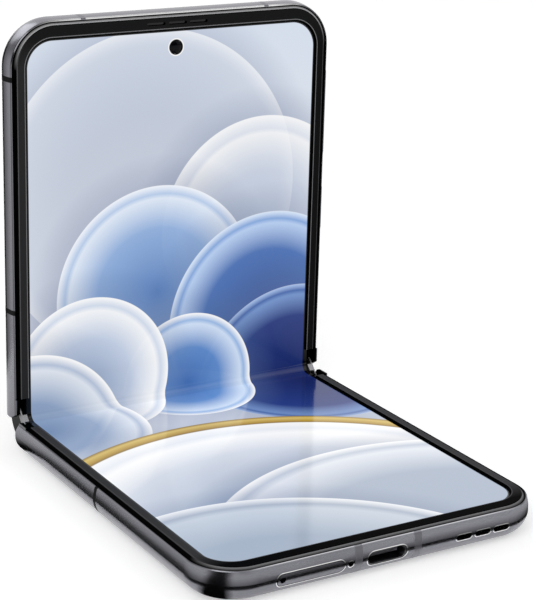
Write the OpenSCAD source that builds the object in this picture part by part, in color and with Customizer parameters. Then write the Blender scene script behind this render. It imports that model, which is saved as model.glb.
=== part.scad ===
// Foldable clamshell phone, drawn half open: the lower half lies flat on its
// back and the lid stands up from a geared hinge. Each half is drawn in its own
// frame: x across, y outward from the fold line, z up from the display surface.

/* [Housing] */
// Width over the two side rails
body_w = 76.3; // [72:0.1:80]
// Length of one half from the fold line to its far end
half_len = 85.4; // [82:0.1:92]
// Thickness of one half from display surface to back
half_t = 6.85; // [6.7:0.05:7.6]
// Plan radius of the outer corners
corner_r = 9.9; // [9.6:0.1:12]
// Radius that rolls the side rail into the back
roll_r = 4.1; // [3.8:0.1:4.6]
// Radius of the crown across the side of the rail
crown_r = 9.2; // [8.4:0.1:9.4]
// Bright chamfer on the front edge of the rail
edge_chamfer = 0.2; // [0.1:0.05:0.3]
// Thickness of the back glass
glass_t = 0.45; // [0.35:0.05:0.5]
// Inset of the back glass from the outer face of the rail
glass_inset = 3; // [2.8:0.1:3.4]
// Thickness of the mid plate under the display
mid_plate_t = 0.6; // [0.4:0.1:0.8]
// Width of an antenna break in the rail
antenna_gap = 1.1; // [0.6:0.1:1.5]
// Width of the two antenna breaks beside the charging port
port_band_w = 1.7; // [1:0.1:2]
// Depth of an antenna break from the outer face of the rail
antenna_depth = 2; // [1.2:0.1:2.4]

/* [Display] */
// Thickness of the folding display panel
panel_t = 0.6; // [0.4:0.05:0.7]
// Thickness of the metal support sheet behind the panel
support_t = 0.2; // [0.1:0.05:0.3]
// Width by which the panel runs under the side bezels
panel_lap = 0.42; // [0.3:0.02:0.5]
// Length by which the panel runs under the end bezel
panel_end_lap = 1.9; // [1:0.1:2]
// Height of the bezel over the display surface
bezel_h = 0.5; // [0.3:0.05:0.55]
// Width of the side bezel over its flat top
bezel_w = 1.8; // [1.6:0.05:2]
// Gap from the rail face to the outer edge of the side bezel
bezel_inset = 1.17; // [1:0.01:1.4]
// Gap from the far end to the outer edge of the end bezel
bezel_end_inset = 0.9; // [0.8:0.05:1.2]
// Width of the end bezel over its flat top
bezel_end_w = 2.5; // [2:0.1:3]
// Width of the slope on the outer side of the bezel
bezel_slant = 0.55; // [0.3:0.05:0.6]
// Slope of the bezel down to the display
bezel_slope = 0.43; // [0.3:0.01:0.5]
// Where the side bezels stop, measured from the fold line
bezel_start = 4.8; // [4.2:0.1:6]

/* [Hinge] */
// Angle between the two displays as drawn
open_angle = 90; // [80:5:120]
// Distance of each turning axis from the fold line
axis_y = 0.4; // [0.35:0.05:0.5]
// Height of the turning axes over the display surface
axis_z = 0.25; // [0.2:0.05:0.35]
// Gap between the two housings at the fold line when flat
edge_gap = 0.2; // [0.1:0.05:0.4]
// Wall of the housing lip that covers the spine
lip_t = 1.4; // [1.3:0.05:1.5]
// Rounding of the lip along the fold line
lip_r = 1.2; // [0.6:0.1:1.3]
// Rounding of the rail ends beside the lip
rail_end_r = 2.4; // [1:0.1:2.8]
// Running gap between the spine and the housings
spine_gap = 0.2; // [0.15:0.05:0.3]
// Wall of the hinge spine
spine_t = 0.5; // [0.4:0.05:0.6]
// Thickness of the rail that hides the end of the spine
rail_side_t = 0.9; // [0.8:0.05:1]
// Gap between the end of the spine and the rail
spine_end_gap = 0.35; // [0.25:0.05:0.45]
// Distance of each hinge module from the middle of the phone
module_x = 24.5; // [20:0.5:26]
// Gear module of the synchronising teeth
tooth_m = 0.14; // [0.13:0.005:0.145]
// Teeth on each small gear
pinion_teeth = 10; // [10:1:10]
// Teeth on the full circle of each swing arm sector
sector_teeth = 46; // [44:2:46]
// Play between meshing teeth, as a share of the tooth pitch
tooth_play = 0.1; // [0.06:0.01:0.14]
// Radius of the gear shafts
shaft_r = 0.32; // [0.25:0.01:0.34]
// Running gap of a shaft in its bore and of an arm in its track
run_gap = 0.05; // [0.03:0.01:0.08]
// Mean radius of the arc track that guides each swing arm
track_r = 4.3; // [4.2:0.05:4.4]
// Radial thickness of the arc tongue on each swing arm
tongue_t = 0.8; // [0.6:0.05:0.9]

/* [Keys and ports] */
// Travel of the side keys
key_travel = 0.35; // [0.2:0.05:0.5]
// Height by which the side keys stand out of the rail
key_proud = 0.45; // [0.4:0.05:0.6]
// Height of the side keys across the rail
key_h = 2.2; // [1.8:0.1:2.4]
// Length of the power key
power_len = 11; // [8:0.5:14]
// Length of the volume key
volume_len = 20; // [16:0.5:24]
// Width of the opening for the charging plug
port_w = 8.94; // [8.9:0.02:9.2]
// Height of the opening for the charging plug
port_h = 2.9; // [2.6:0.05:3.2]
// Length of the face of the card tray
tray_w = 14.5; // [13:0.5:16]
// Height of the face of the card tray
tray_h = 2.4; // [2:0.1:2.6]
// Depth of the card tray
tray_depth = 19; // [16:0.5:22]
// Length of one loudspeaker slot
slot_w = 3.7; // [3:0.1:3.9]
// Height of one loudspeaker slot
slot_h = 1.25; // [0.8:0.05:1.4]
// Centre spacing of the loudspeaker slots
slot_pitch = 4.45; // [4.3:0.05:4.8]

/* [Cameras] */
// Radius of the lens rings on the lid
ring_r = 7.2; // [6:0.1:8]
// Height of the lens rings over the back glass
ring_h = 1.3; // [0.8:0.1:2]
// Spacing of the two rear cameras
camera_pitch = 17.5; // [16.5:0.5:20]
// Distance of the rear cameras from the far end of the lid
camera_end = 15; // [13:0.5:18]
// Radius of the hole for the inner camera
front_hole_r = 1.55; // [1.3:0.05:1.8]
// Distance of the inner camera from the far end of the lid
front_cam_end = 7.4; // [6.8:0.1:9]

/* [Hidden] */
$fn = 64;

rail_color = [0.34, 0.34, 0.37];
black_color = [0.05, 0.05, 0.06];
steel_color = [0.66, 0.66, 0.68];
screen_color = [0.45, 0.55, 0.75];

seat_gap = 0.05;                                  // play round a piece set in a pocket
crown_h = half_t - roll_r;                        // front face to the widest line of the rail
crown_drop = round(100 * (crown_r - sqrt(pow(crown_r, 2) - pow(crown_h, 2)))) / 100;
half_w = body_w / 2 - crown_drop;                 // half width over the front edges of the rails
end_y = half_len - crown_drop;                    // front edge of the rail at the far end
face_r = corner_r - crown_drop;                   // corner radius of that edge
panel_z = -panel_t;                               // back of the display panel
support_z = panel_z - support_t;                  // back of the support sheet
wing_t = support_t + 0.15;
wing_z = panel_z - wing_t;                        // back of the wing plate
mid_z = support_z - mid_plate_t;                  // back of the mid plate
glass_z = glass_t - half_t;                       // inner face of the back glass
half_turn = (180 - open_angle) / 2;               // turn of each half against the spine
cavity_r = half_t + axis_z - lip_t;               // hollow in the housing for the spine
spine_r = cavity_r - spine_gap;                   // outer radius of the spine
core_r = spine_r - spine_t - seat_gap;            // outer radius of what sits in the spine
cavity_x = half_w - rail_side_t;
spine_x = cavity_x - spine_end_gap;
open_x = half_w - bezel_inset - bezel_w;
open_end = end_y - bezel_end_inset - bezel_end_w;
open_r = face_r - bezel_inset - bezel_w - bezel_slope;
panel_x = open_x + panel_lap;
panel_end = open_end + panel_end_lap;
panel_r = open_r + panel_x - open_x;
bezel_x = half_w - bezel_inset;
bezel_end = end_y - bezel_end_inset;
bezel_r = face_r - bezel_inset;
flange_inset = edge_chamfer + 0.1;                // rail face to the flange of the bezel
flange_z = -0.12;                                 // top of the flange that fills the groove
slope_lap = 0.3;                                  // width by which a slope runs into its bezel
bezel_edge = 0.12;                                // soft outer edge of the bezel's top
// Fold line to the crossing of the two display planes, and the bend of the same length
corner_y = axis_y * (1 / cos(half_turn) - 1) + axis_z * tan(half_turn);
fold_r = corner_y / (1 / tan(open_angle / 2) - half_turn * PI / 180);
fold_reach = fold_r / tan(open_angle / 2) - corner_y;
arm_z = wing_z - seat_gap;                        // top of the swing arms
arm_t = 0.8;
arm_end = cavity_r + 6.6;                         // outer end of the arm feet
pocket_start = arm_end + 1.2;
wing_end = cavity_r + 1.8;
edge_z = arm_z - arm_t - 0.2;                     // top edge of the spine walls

// Widths of the zones of one hinge module, outward from its middle
idler_w = 1.4;
inner_wall_w = 0.6;
sector_w = 1;
outer_wall_w = 0.8;
tongue_w = 3;
end_wall_w = 0.6;
zone_1 = idler_w / 2;
zone_2 = zone_1 + inner_wall_w;
zone_3 = zone_2 + sector_w;
zone_4 = zone_3 + outer_wall_w;
zone_5 = zone_4 + tongue_w;
zone_6 = zone_5 + end_wall_w;
side_play = 0.08;                                 // side play of the arms and gears
screw_x = (zone_2 + zone_5) / 2;
screw_r = 0.5;
screw_len = 1.6;
screw_head_r = 0.95;
screw_head_h = 0.35;

// Gear train: sector, drive gear, idler, idler, drive gear, sector
pinion_r = tooth_m * pinion_teeth / 2;
sector_r = tooth_m * sector_teeth / 2;
train_r = sector_r + pinion_r;
drive_y = 3 * pinion_r;
drive_dir = acos((drive_y - axis_y) / train_r);   // dip of the drive gear below its axis
gear_z = axis_z - train_r * sin(drive_dir);
sector_from = drive_dir - 8;
sector_to = 180 - asin((axis_z - arm_z) / (sector_r - 1.25 * tooth_m)) - 180 / sector_teeth;
function next_phase(phase, line, za, zb) = line + 180 - (phase - line) * za / zb + 180 / zb;
base_sector_phase = 180 + drive_dir;
drive_1_phase = next_phase(base_sector_phase, 180 + drive_dir, sector_teeth, pinion_teeth);
idler_1_phase = next_phase(drive_1_phase, 0, pinion_teeth, pinion_teeth);
idler_2_phase = next_phase(idler_1_phase, 0, pinion_teeth, pinion_teeth);
drive_2_phase = next_phase(idler_2_phase, 0, pinion_teeth, pinion_teeth);
lid_sector_phase = next_phase(drive_2_phase, 180 - drive_dir, pinion_teeth, sector_teeth);

rail_mid_z = -3.35;                               // middle of the ports on the end rail
tongue_half_w = port_w / 2 - 1.12;                // half width of the tongue in the charging port
tongue_h = 0.7;
shell_t = 0.3;                                    // wall of the shell of the charging port
port_back = end_y - 8;                            // inner end of the charging port
tray_x = -16.9;
tray_gap = 0.15;                                  // seam round the face of the card tray
mic_x = -8.2;
pin_hole_r = 0.6;                                 // holes for the microphone and the tray pin
speaker_x = half_w - 15.55;
end_bands = [-6.5, 6.9];
top_bands = [-21.5, 22];
base_side_bands = [38.5];
lid_side_bands = [24, 73.5];
power_y = 38;
volume_y = 60;
key_z = -2.3;
key_stem_w = 1.6;
key_stem_gap = 0.15;                              // room left behind a pressed key
key_floor = half_w - 1.6;                         // bottom of the recess for a key
key_crown_r = 12;                                 // curve of the key face across the rail
camera_x = half_w - 14.75;
flash_x = camera_x - camera_pitch - 12;
camera_y = end_y - camera_end;
front_cam_y = end_y - front_cam_end;
earpiece_y = end_y - bezel_end_inset - bezel_end_w / 2;
earpiece_x = 9.4;                                 // middle of the receiver beside the camera
earpiece_w = 10.8;
wide_camera_w = 10;
main_camera_w = 11.4;
front_barrel_r = front_hole_r + 1.05;

// ---- places ----

module fold_place() {
    translate([0, half_len / 2, half_t]) children();
}

module turn_about(y, z, angle) {
    translate([0, y, z]) rotate([angle, 0, 0]) translate([0, -y, -z]) children();
}

module base_place() {
    fold_place() mirror([0, 1, 0]) children();
}

module spine_place() {
    fold_place() turn_about(-axis_y, axis_z, half_turn) children();
}

module lid_place() {
    spine_place() turn_about(axis_y, axis_z, half_turn) children();
}

module both_sides() {
    children();
    mirror([1, 0, 0]) children();
}

// ---- shapes shared by the two halves ----

// Sweeps a profile, drawn outward from the corner centre, round three sides
module u_sweep(w, far, r, near) {
    both_sides() {
        translate([w - r, far - r, 0]) rotate_extrude(angle = 90) children();
        translate([w - r, far - r, 0]) rotate([90, 0, 0]) linear_extrude(far - r - near) children();
    }
    translate([r - w, far - r, 0]) rotate([90, 0, 90]) linear_extrude(2 * (w - r)) children();
}

// Plate with two round corners at its far end
module plan(w, near, far, r, z0, z1) {
    translate([0, 0, z0]) linear_extrude(z1 - z0) {
        translate([-w, near]) square([2 * w, far - r - near]);
        translate([r - w, near]) square([2 * (w - r), far - near]);
        for (s = [-1, 1]) translate([s * (w - r), far - r]) circle(r);
    }
}

// Rounded bar along X with round ends, cut through the rail along Y
module slot_y(x, z, w, h, y0, y1) {
    translate([x, y1, z]) rotate([90, 0, 0]) linear_extrude(y1 - y0) {
        square([w - h, h], center = true);
        for (s = [-1, 1]) translate([s * (w - h) / 2, 0]) circle(h / 2);
    }
}

// Rounded bar along Y with round ends, cut through the rail along X
module slot_x(y, z, w, h, x0, x1) {
    translate([x0, y, z]) rotate([90, 0, 90]) linear_extrude(x1 - x0) {
        square([w - h, h], center = true);
        for (s = [-1, 1]) translate([s * (w - h) / 2, 0]) circle(h / 2);
    }
}

// Block with round upright edges
module pad(x0, x1, y0, y1, z0, z1, r) {
    translate([0, 0, z0]) linear_extrude(z1 - z0) {
        translate([x0 + r, y0]) square([x1 - x0 - 2 * r, y1 - y0]);
        translate([x0, y0 + r]) square([x1 - x0, y1 - y0 - 2 * r]);
        for (x = [x0 + r, x1 - r], y = [y0 + r, y1 - r]) translate([x, y]) circle(r);
    }
}

// Section of the rail: a crowned side that rolls into the back
module rail_profile() {
    difference() {
        union() {
            translate([0, -half_t]) square([corner_r - roll_r, half_t]);
            intersection() {
                translate([0, -crown_h]) square([corner_r, crown_h]);
                translate([corner_r - crown_r, -crown_h]) circle(crown_r, $fn = 256);
            }
            translate([corner_r - roll_r, roll_r - half_t]) intersection() {
                circle(roll_r);
                translate([0, -roll_r]) square(roll_r);
            }
        }
        translate([face_r, 0]) rotate(45) square(edge_chamfer * sqrt(2), center = true);
    }
}

module half_solid() {
    u_sweep(half_w, end_y, face_r, edge_gap) rail_profile();
    plan(half_w - face_r + 1, edge_gap, end_y - face_r + 1, 1, -half_t, 0);
}

module cavity(r, x) {
    translate([-x, axis_y, axis_z]) rotate([0, 90, 0]) cylinder(r = r, h = 2 * x);
}

// Raised end of each side rail beside the fold, with a sloped nose
module rail_lugs() {
    both_sides() translate([cavity_x, 0, 0]) rotate([90, 0, 90]) linear_extrude(rail_side_t)
        polygon([[edge_gap, -1.7], [1.5, bezel_h], [bezel_start - 2 * seat_gap, bezel_h],
                 [bezel_start - 2 * seat_gap, -1.7]]);
}

// Cutter that rounds the back edge along the fold line
module lip_rounding(x, r) {
    outline_x(-x, x) difference() {
        translate([edge_gap - 1, -half_t - 1]) square([r + 1, r + 1]);
        translate([edge_gap + r, r - half_t]) circle(r);
    }
}

module rail_nose_cut() {
    rotate([90, 0, 90]) translate([0, 0, -half_w - 1]) linear_extrude(body_w + 2)
        polygon([[edge_gap - 1, -1.7], [edge_gap, -1.7], [1.5, bezel_h], [1.5, 2], [edge_gap - 1, 2]]);
}

module band_slabs(ends, end_w, sides) {
    for (x = ends) translate([x - end_w / 2, end_y - antenna_depth, -half_t - 1])
        cube([end_w, antenna_depth + 1, half_t + 2]);
    both_sides() for (y = sides)
        translate([half_w - antenna_depth / 2, y - antenna_gap / 2, -half_t - 1])
            cube([antenna_depth, antenna_gap, half_t + 2]);
}

// Rail and mid plate of one half before its own ports are cut
module half_frame() {
    difference() {
        union() {
            half_solid();
            rail_lugs();
        }
        rail_nose_cut();
        plan(half_w - flange_inset + seat_gap, bezel_start - seat_gap, end_y - flange_inset + seat_gap,
             face_r - flange_inset + seat_gap, support_z, 2);
        lip_rounding(cavity_x, lip_r);
        both_sides() translate([cavity_x + 5, 0, 0]) lip_rounding(5, rail_end_r);
        plan(half_w - glass_inset, edge_gap + 0.6, end_y - glass_inset,
             face_r - glass_inset, -half_t - 1, glass_z);
        plan(half_w - glass_inset - 1, pocket_start, end_y - glass_inset - 1,
             face_r - glass_inset - 1, glass_z - 1, mid_z);
        cavity(cavity_r, cavity_x);
        translate([-panel_x - seat_gap, 0, wing_z]) cube([2 * (panel_x + seat_gap), wing_end + seat_gap, 2]);
        for (s = [-1, 1]) translate([s * module_x, 0, 0]) {
            arm_pocket();
            mirror([1, 0, 0]) arm_pocket();
        }
    }
}

module arm_pocket() {
    y0 = cavity_r - 1.5;
    translate([zone_2 - side_play, y0, arm_z - arm_t])
        cube([zone_5 - zone_2 + 2 * side_play, arm_end + seat_gap - y0, 3]);
    for (y = [arm_end - 4, arm_end - 1.5]) translate([screw_x, y, arm_z - arm_t - screw_len])
        cylinder(r = screw_r + run_gap, h = screw_len + 1);
}

module glass_plate() {
    intersection() {
        half_solid();
        plan(half_w - glass_inset - seat_gap, edge_gap + 0.6 + seat_gap,
             end_y - glass_inset - seat_gap, face_r - glass_inset - seat_gap,
             -half_t - 1, glass_z);
    }
}

module bezel() {
    difference() {
        union() {
            plan(bezel_x, bezel_start, bezel_end, bezel_r, support_z, bezel_h);
            plan(half_w - flange_inset, bezel_start, end_y - flange_inset, face_r - flange_inset,
                 support_z, flange_z);
            u_sweep(bezel_x, bezel_end, bezel_r, bezel_start)
                polygon([[bezel_r - slope_lap, flange_z - slope_lap], [bezel_r - slope_lap, bezel_h],
                         [bezel_r, bezel_h], [bezel_r + bezel_slant, flange_z],
                         [bezel_r + bezel_slant, flange_z - slope_lap]]);
        }
        plan(panel_x + seat_gap, 0, panel_end + seat_gap, panel_r + seat_gap, support_z - 1, 0);
        plan(open_x, 0, open_end, open_r, -1, bezel_h + 1);
        u_sweep(bezel_x, bezel_end, bezel_r, bezel_start - 1)
            polygon([[bezel_r - bezel_edge, bezel_h + 0.01], [bezel_r + 1, bezel_h + 0.01],
                     [bezel_r + 1, bezel_h - bezel_edge], [bezel_r, bezel_h - bezel_edge]]);
    }
    u_sweep(open_x, open_end, open_r, bezel_start)
        polygon([[open_r - bezel_slope, 0], [open_r + slope_lap, 0], [open_r + slope_lap, bezel_h],
                 [open_r, bezel_h]]);
}

module panel() {
    plan(panel_x, fold_reach, panel_end, panel_r, panel_z, 0);
}

module support_sheet() {
    plan(panel_x, wing_end + seat_gap, panel_end, panel_r, support_z, panel_z);
}

module wing_plate() {
    translate([-panel_x, fold_reach + 0.1, wing_z])
        cube([2 * panel_x, wing_end - fold_reach - 0.1, wing_t]);
}

// ---- geared hinge ----

function on_circle(r, a) = [r * cos(a), r * sin(a)];

// Outline of a toothed wheel, or of the toothed stretch between two directions
module gear_outline(teeth, phase, from, to) {
    r = tooth_m * teeth / 2;
    pitch = 360 / teeth;
    root_r = r - 1.25 * tooth_m;
    tip_r = r + 0.9 * tooth_m;
    half = pitch * (0.5 - tooth_play) / 2;
    circle(root_r);
    for (i = [0 : teeth - 1]) {
        a = phase + i * pitch;
        turn = (a - from) - 360 * floor((a - from) / 360);
        if (turn <= to - from)
            polygon([on_circle(root_r * 0.96, a - half * 1.55), on_circle(r, a - half),
                     on_circle(tip_r, a - half * 0.45), on_circle(tip_r, a + half * 0.45),
                     on_circle(r, a + half), on_circle(root_r * 0.96, a + half * 1.55)]);
    }
}

// Wedge between two directions, large enough to cut any hinge piece
module wedge(from, to) {
    steps = ceil((to - from) / 30);
    polygon(concat([[0, 0]], [for (i = [0 : steps]) on_circle(20, from + (to - from) * i / steps)]));
}

// Swing arm drawn on the side of its own half: foot, arc tongue and gear sector
module swing_arm(phase) {
    outline_x(zone_4 + side_play, zone_5 - side_play) intersection() {
        below(arm_z);
        union() {
            foot_bar(track_r + 0.4);
            translate([axis_y, axis_z]) intersection() {
                difference() {
                    circle(track_r + tongue_t / 2);
                    circle(track_r - tongue_t / 2);
                }
                wedge(-140, 0);
            }
        }
    }
    outline_x(zone_2 + side_play, zone_3 - side_play) intersection() {
        below(arm_z);
        union() {
            foot_bar(sector_r);
            translate([axis_y, axis_z]) {
                intersection() {
                    difference() {
                        gear_outline(sector_teeth, phase, -sector_to, -sector_from);
                        circle(sector_r * 0.7);
                    }
                    wedge(-sector_to - 4, 0);
                }
                intersection() {
                    difference() {
                        circle(core_r - 0.4);
                        circle(sector_r * 0.7);
                    }
                    wedge(-sector_from + 10, 0);
                }
            }
        }
    }
    difference() {
        translate([zone_2 + side_play, cavity_r + 0.6, arm_z - arm_t])
            cube([zone_5 - zone_2 - 2 * side_play, arm_end - cavity_r - 0.6, arm_t]);
        for (y = [arm_end - 4, arm_end - 1.5]) translate([screw_x, y, arm_z - arm_t - 1]) {
            cylinder(r = screw_r + run_gap, h = arm_t + 2);
            translate([0, 0, 1 + arm_t - screw_head_h]) cylinder(r = screw_head_r + run_gap, h = 1);
        }
    }
}

// Extrudes an outline drawn in y and z along x
module outline_x(x0, x1) {
    translate([x0, 0, 0]) rotate([90, 0, 90]) linear_extrude(x1 - x0) children();
}

module below(z) {
    translate([-20, z - 40]) square([40, 40]);
}

module foot_bar(y0) {
    translate([y0, arm_z - arm_t]) square([cavity_r + 1 - y0, arm_t]);
}

module swing_arms(side, phase) {
    for (s = [-1, 1]) translate([s * module_x, 0, 0])
        if (side > 0) swing_arm(phase);
        else mirror([1, 0, 0]) swing_arm(phase);
}

module hinge_screws(side) {
    for (s = [-1, 1], y = [arm_end - 4, arm_end - 1.5])
        translate([s * module_x + side * screw_x, y, arm_z]) {
            translate([0, 0, -arm_t - screw_len + 0.1]) cylinder(r = screw_r, h = screw_len + arm_t - 0.1);
            translate([0, 0, -screw_head_h]) difference() {
                cylinder(r = screw_head_r, h = screw_head_h - 0.02);
                translate([0, 0, 0.15]) cylinder(r = 0.35, h = 1, $fn = 6);
            }
        }
}

// Cross-section of the spine: two arcs about the turning axes, joined by a flat
module spine_outline(r) {
    for (s = [-1, 1]) translate([s * axis_y, axis_z]) circle(r);
    translate([-axis_y, axis_z - r]) square([2 * axis_y, r]);
}

module core_outline(top) {
    intersection() {
        spine_outline(core_r);
        below(top);
    }
}

module spine() {
    outline_x(-spine_x, spine_x) difference() {
        intersection() {
            spine_outline(spine_r);
            below(edge_z);
        }
        spine_outline(spine_r - spine_t);
    }
    both_sides() outline_x(panel_x + 0.1, spine_x) intersection() {
        spine_outline(spine_r);
        union() {
            below(support_z - spine_gap);
            translate([spine_gap - bezel_start, -spine_r]) square([2 * (bezel_start - spine_gap), spine_r - 0.4]);
        }
    }
}

// Block with the arc track of one swing arm, and the clear way of its bar
module track_block() {
    outline_x(zone_4 - 0.01, zone_5 + 0.01) difference() {
        core_outline(arm_z - 0.05);
        translate([axis_y, axis_z]) difference() {
            circle(track_r + tongue_t / 2 + run_gap);
            circle(track_r - tongue_t / 2 - run_gap);
        }
        translate([track_r, arm_z - arm_t - run_gap]) square([20, 20]);
    }
}

module bracket_side() {
    difference() {
        for (zone = [[zone_1, zone_2], [zone_3, zone_4], [zone_5, zone_6]])
            outline_x(zone[0], zone[1]) core_outline(zone[1] < zone_3 ? edge_z : arm_z - 0.05);
        translate([0, drive_y, gear_z]) rotate([0, 90, 0]) cylinder(r = shaft_r + run_gap, h = zone_4 - 0.25);
        translate([0, -drive_y, gear_z]) rotate([0, 90, 0]) cylinder(r = shaft_r + run_gap, h = zone_2 - 0.2);
        for (s = [-1, 1]) translate([0, s * pinion_r, gear_z]) rotate([0, 90, 0])
            cylinder(r = shaft_r + run_gap, h = zone_2 - 0.2);
    }
    track_block();
}

module bracket() {
    bracket_side();
    rotate([0, 0, 180]) bracket_side();
    outline_x(-zone_4, zone_4) intersection() {
        core_outline(gear_z - pinion_r - 2 * tooth_m);
        square([2 * drive_y, 40], center = true);
    }
}

// One gear with its shaft, drawn about its own axis along x
module wheel(phase, x0, x1) {
    outline_x(x0 + side_play, x1 - side_play) gear_outline(pinion_teeth, phase, phase - 1, phase + 359);
}

module gear_set(y, phase, turn, wheels, shaft) {
    for (s = [-1, 1]) translate([s * module_x, y, gear_z]) rotate([turn, 0, 0]) {
        for (w = wheels) wheel(phase, w[0], w[1]);
        translate([shaft[0], 0, 0]) rotate([0, 90, 0]) cylinder(r = shaft_r, h = shaft[1] - shaft[0]);
    }
}

gear_turn = half_turn * sector_teeth / pinion_teeth;
end_shaft = zone_4 - 0.3;
mid_shaft = zone_2 - 0.25;

// T-shaped cover over each end of the fold, with pointed tips
module end_cap() {
    cap_top = 0.85;
    stem_x = panel_x + 0.12;
    bar_x = spine_x - 0.2;
    outline_x(stem_x, bar_x) polygon([[-1, -0.4], [-1, cap_top - 0.2], [-0.8, cap_top],
                                      [0.8, cap_top], [1, cap_top - 0.2], [1, -0.4]]);
    outline_x(bar_x, spine_x + 0.1) polygon([[-1.6, -0.4], [-2.6, 0.9], [-1, cap_top],
                                             [1, cap_top], [2.6, 0.9], [1.6, -0.4]]);
}

module fold_sheet() {
    translate([0, fold_r / sin(open_angle / 2) - corner_depth()]) intersection() {
        difference() {
            circle(fold_r + panel_t);
            circle(fold_r);
        }
        wedge(-90 - half_turn, -90 + half_turn);
    }
}

// Depth of the crossing of the two displays below the fold line, in the spine's frame
function corner_depth() = (corner_y + axis_y) * sin(half_turn) - axis_z * (1 - cos(half_turn));

// ---- lower half ----

module base_frame() {
    color(rail_color) base_place() difference() {
        half_frame();
        band_slabs(end_bands, port_band_w, base_side_bands);
        slot_y(0, rail_mid_z, port_w + 2 * seat_gap, port_h + 2 * seat_gap, end_y - 6, end_y + 1);
        slot_y(tray_x, rail_mid_z, tray_w + 2 * tray_gap, tray_h + 2 * tray_gap, end_y - 6, end_y + 1);
        translate([mic_x, end_y + 1, rail_mid_z]) rotate([90, 0, 0]) cylinder(r = pin_hole_r, h = 7);
        for (i = [-1 : 1])
            slot_y(speaker_x + i * slot_pitch, rail_mid_z, slot_w, slot_h, end_y - 6, end_y + 1);
    }
}

module base_antenna_bands() {
    color(black_color) base_place() intersection() {
        half_frame();
        band_slabs(end_bands, port_band_w, base_side_bands);
    }
}

module base_back_glass() {
    color(black_color) base_place() glass_plate();
}

module base_bezel() {
    color(black_color) base_place() bezel();
}

module base_display() {
    color(screen_color) base_place() panel();
}

module base_support_plate() {
    color(steel_color) base_place() support_sheet();
}

module base_wing_plate() {
    color(steel_color) base_place() wing_plate();
}

module base_swing_arms() {
    color(steel_color) base_place() swing_arms(-1, 180 - base_sector_phase);
}

module base_hinge_screws() {
    color(steel_color) base_place() hinge_screws(-1);
}

board_z = glass_z + 0.5;
board_t = 0.7;
cell_gap = 0.15;                                  // room above and below a battery cell
board_gap = 0.3;                                  // room round a piece that passes a board
board_start = end_y - 23;
speaker_end = end_y - 9;                          // outer side of the loudspeaker's chamber
nozzle_w = 2 * slot_pitch + slot_w - 0.6;         // width of the duct behind the loudspeaker slots
motor_x = 9;
motor_w = 7;
motor_len = 9;
motor_y = board_start + 0.5;
inner_x = half_w - glass_inset - 1 - 0.3;         // half width left for the inner pieces
cell_x = inner_x - 0.5;                           // half width of the batteries and the main board

module cell(y0, y1) {
    pad(-cell_x, cell_x, y0, y1, glass_z + cell_gap, mid_z - cell_gap, 2);
    pad(-inner_x + 3, inner_x - 3, y1 - 0.5, y1 + 2.2, glass_z + 1.2, mid_z - 2, 0.6);
}

module base_battery() {
    color(black_color) base_place() cell(pocket_start + 0.5, board_start - 3);
}

module sub_board() {
    color([0.05, 0.25, 0.16]) base_place() difference() {
        pad(-inner_x + 0.4, inner_x - 0.4, board_start, end_y - glass_inset - 8, board_z, board_z + board_t, 1.5);
        pad(speaker_x - 8, inner_x + 1, board_start - 1, end_y, board_z - 1, board_z + 2, 1);
    }
}

module usb_port() {
    color(steel_color) base_place() {
        difference() {
            slot_y(0, rail_mid_z, port_w, port_h, port_back, half_len - 0.5);
            slot_y(0, rail_mid_z, port_w - 2 * shell_t, port_h - 2 * shell_t, port_back + 0.7, half_len);
        }
        translate([-tongue_half_w, port_back + 0.5, rail_mid_z - tongue_h / 2])
            cube([2 * tongue_half_w, 6, tongue_h]);
        pad(-tongue_half_w - 0.8, tongue_half_w + 0.8, port_back - 4.5, port_back, board_z + board_t,
            rail_mid_z + 1.2, 0.4);
    }
}

module loudspeaker() {
    color([0.1, 0.1, 0.11]) base_place() {
        pad(speaker_x - 7.5, inner_x - 1.5, speaker_end - 12, speaker_end, glass_z + 0.2, mid_z - 0.2, 1.5);
        pad(speaker_x - nozzle_w / 2, speaker_x + nozzle_w / 2, speaker_end - 0.5, speaker_end + 2.8,
            rail_mid_z - 1, rail_mid_z + 1, 0.5);
    }
}

module haptic_motor() {
    color(steel_color) base_place() {
        pad(motor_x - motor_w / 2, motor_x + motor_w / 2, motor_y, motor_y + motor_len, board_z + board_t,
            mid_z - 0.3, 1.2);
        pad(motor_x - motor_w / 2 - 0.9, motor_x + motor_w / 2 + 0.9, motor_y + 2.5, motor_y + 6.5,
            board_z + board_t, board_z + board_t + 0.5, 0.6);
    }
}

module card_tray() {
    color(rail_color) base_place() difference() {
        union() {
            intersection() {
                half_solid();
                slot_y(tray_x, rail_mid_z, tray_w, tray_h, end_y - 2.6, end_y + 1);
            }
            pad(tray_x - tray_w / 2 + 1, tray_x + tray_w / 2 - 1, end_y - tray_depth, end_y - 2.5,
                rail_mid_z - 0.55, rail_mid_z + 0.55, 1);
        }
        pad(tray_x - tray_w / 2 + 1.9, tray_x + tray_w / 2 - 1.9, end_y - tray_depth + 1,
            end_y - tray_depth + 9.8, rail_mid_z - 0.1, rail_mid_z + 2, 0.6);
        translate([tray_x - tray_w / 2 + 1.2, end_y + 1, rail_mid_z]) rotate([90, 0, 0])
            cylinder(r = pin_hole_r, h = 4);
    }
}

// ---- spine ----

module hinge_spine() {
    color(black_color) spine_place() spine();
}

module hinge_brackets() {
    color(steel_color) spine_place() for (s = [-1, 1]) translate([s * module_x, 0, 0]) bracket();
}

module base_drive_gears() {
    color(steel_color) spine_place() gear_set(-drive_y, drive_1_phase, gear_turn,
        [[-zone_3, -zone_2], [-zone_1, zone_1]], [-end_shaft, mid_shaft]);
}

module base_idler_gears() {
    color(steel_color) spine_place() gear_set(-pinion_r, idler_1_phase, -gear_turn,
        [[-zone_1, zone_1]], [-mid_shaft, mid_shaft]);
}

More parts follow.
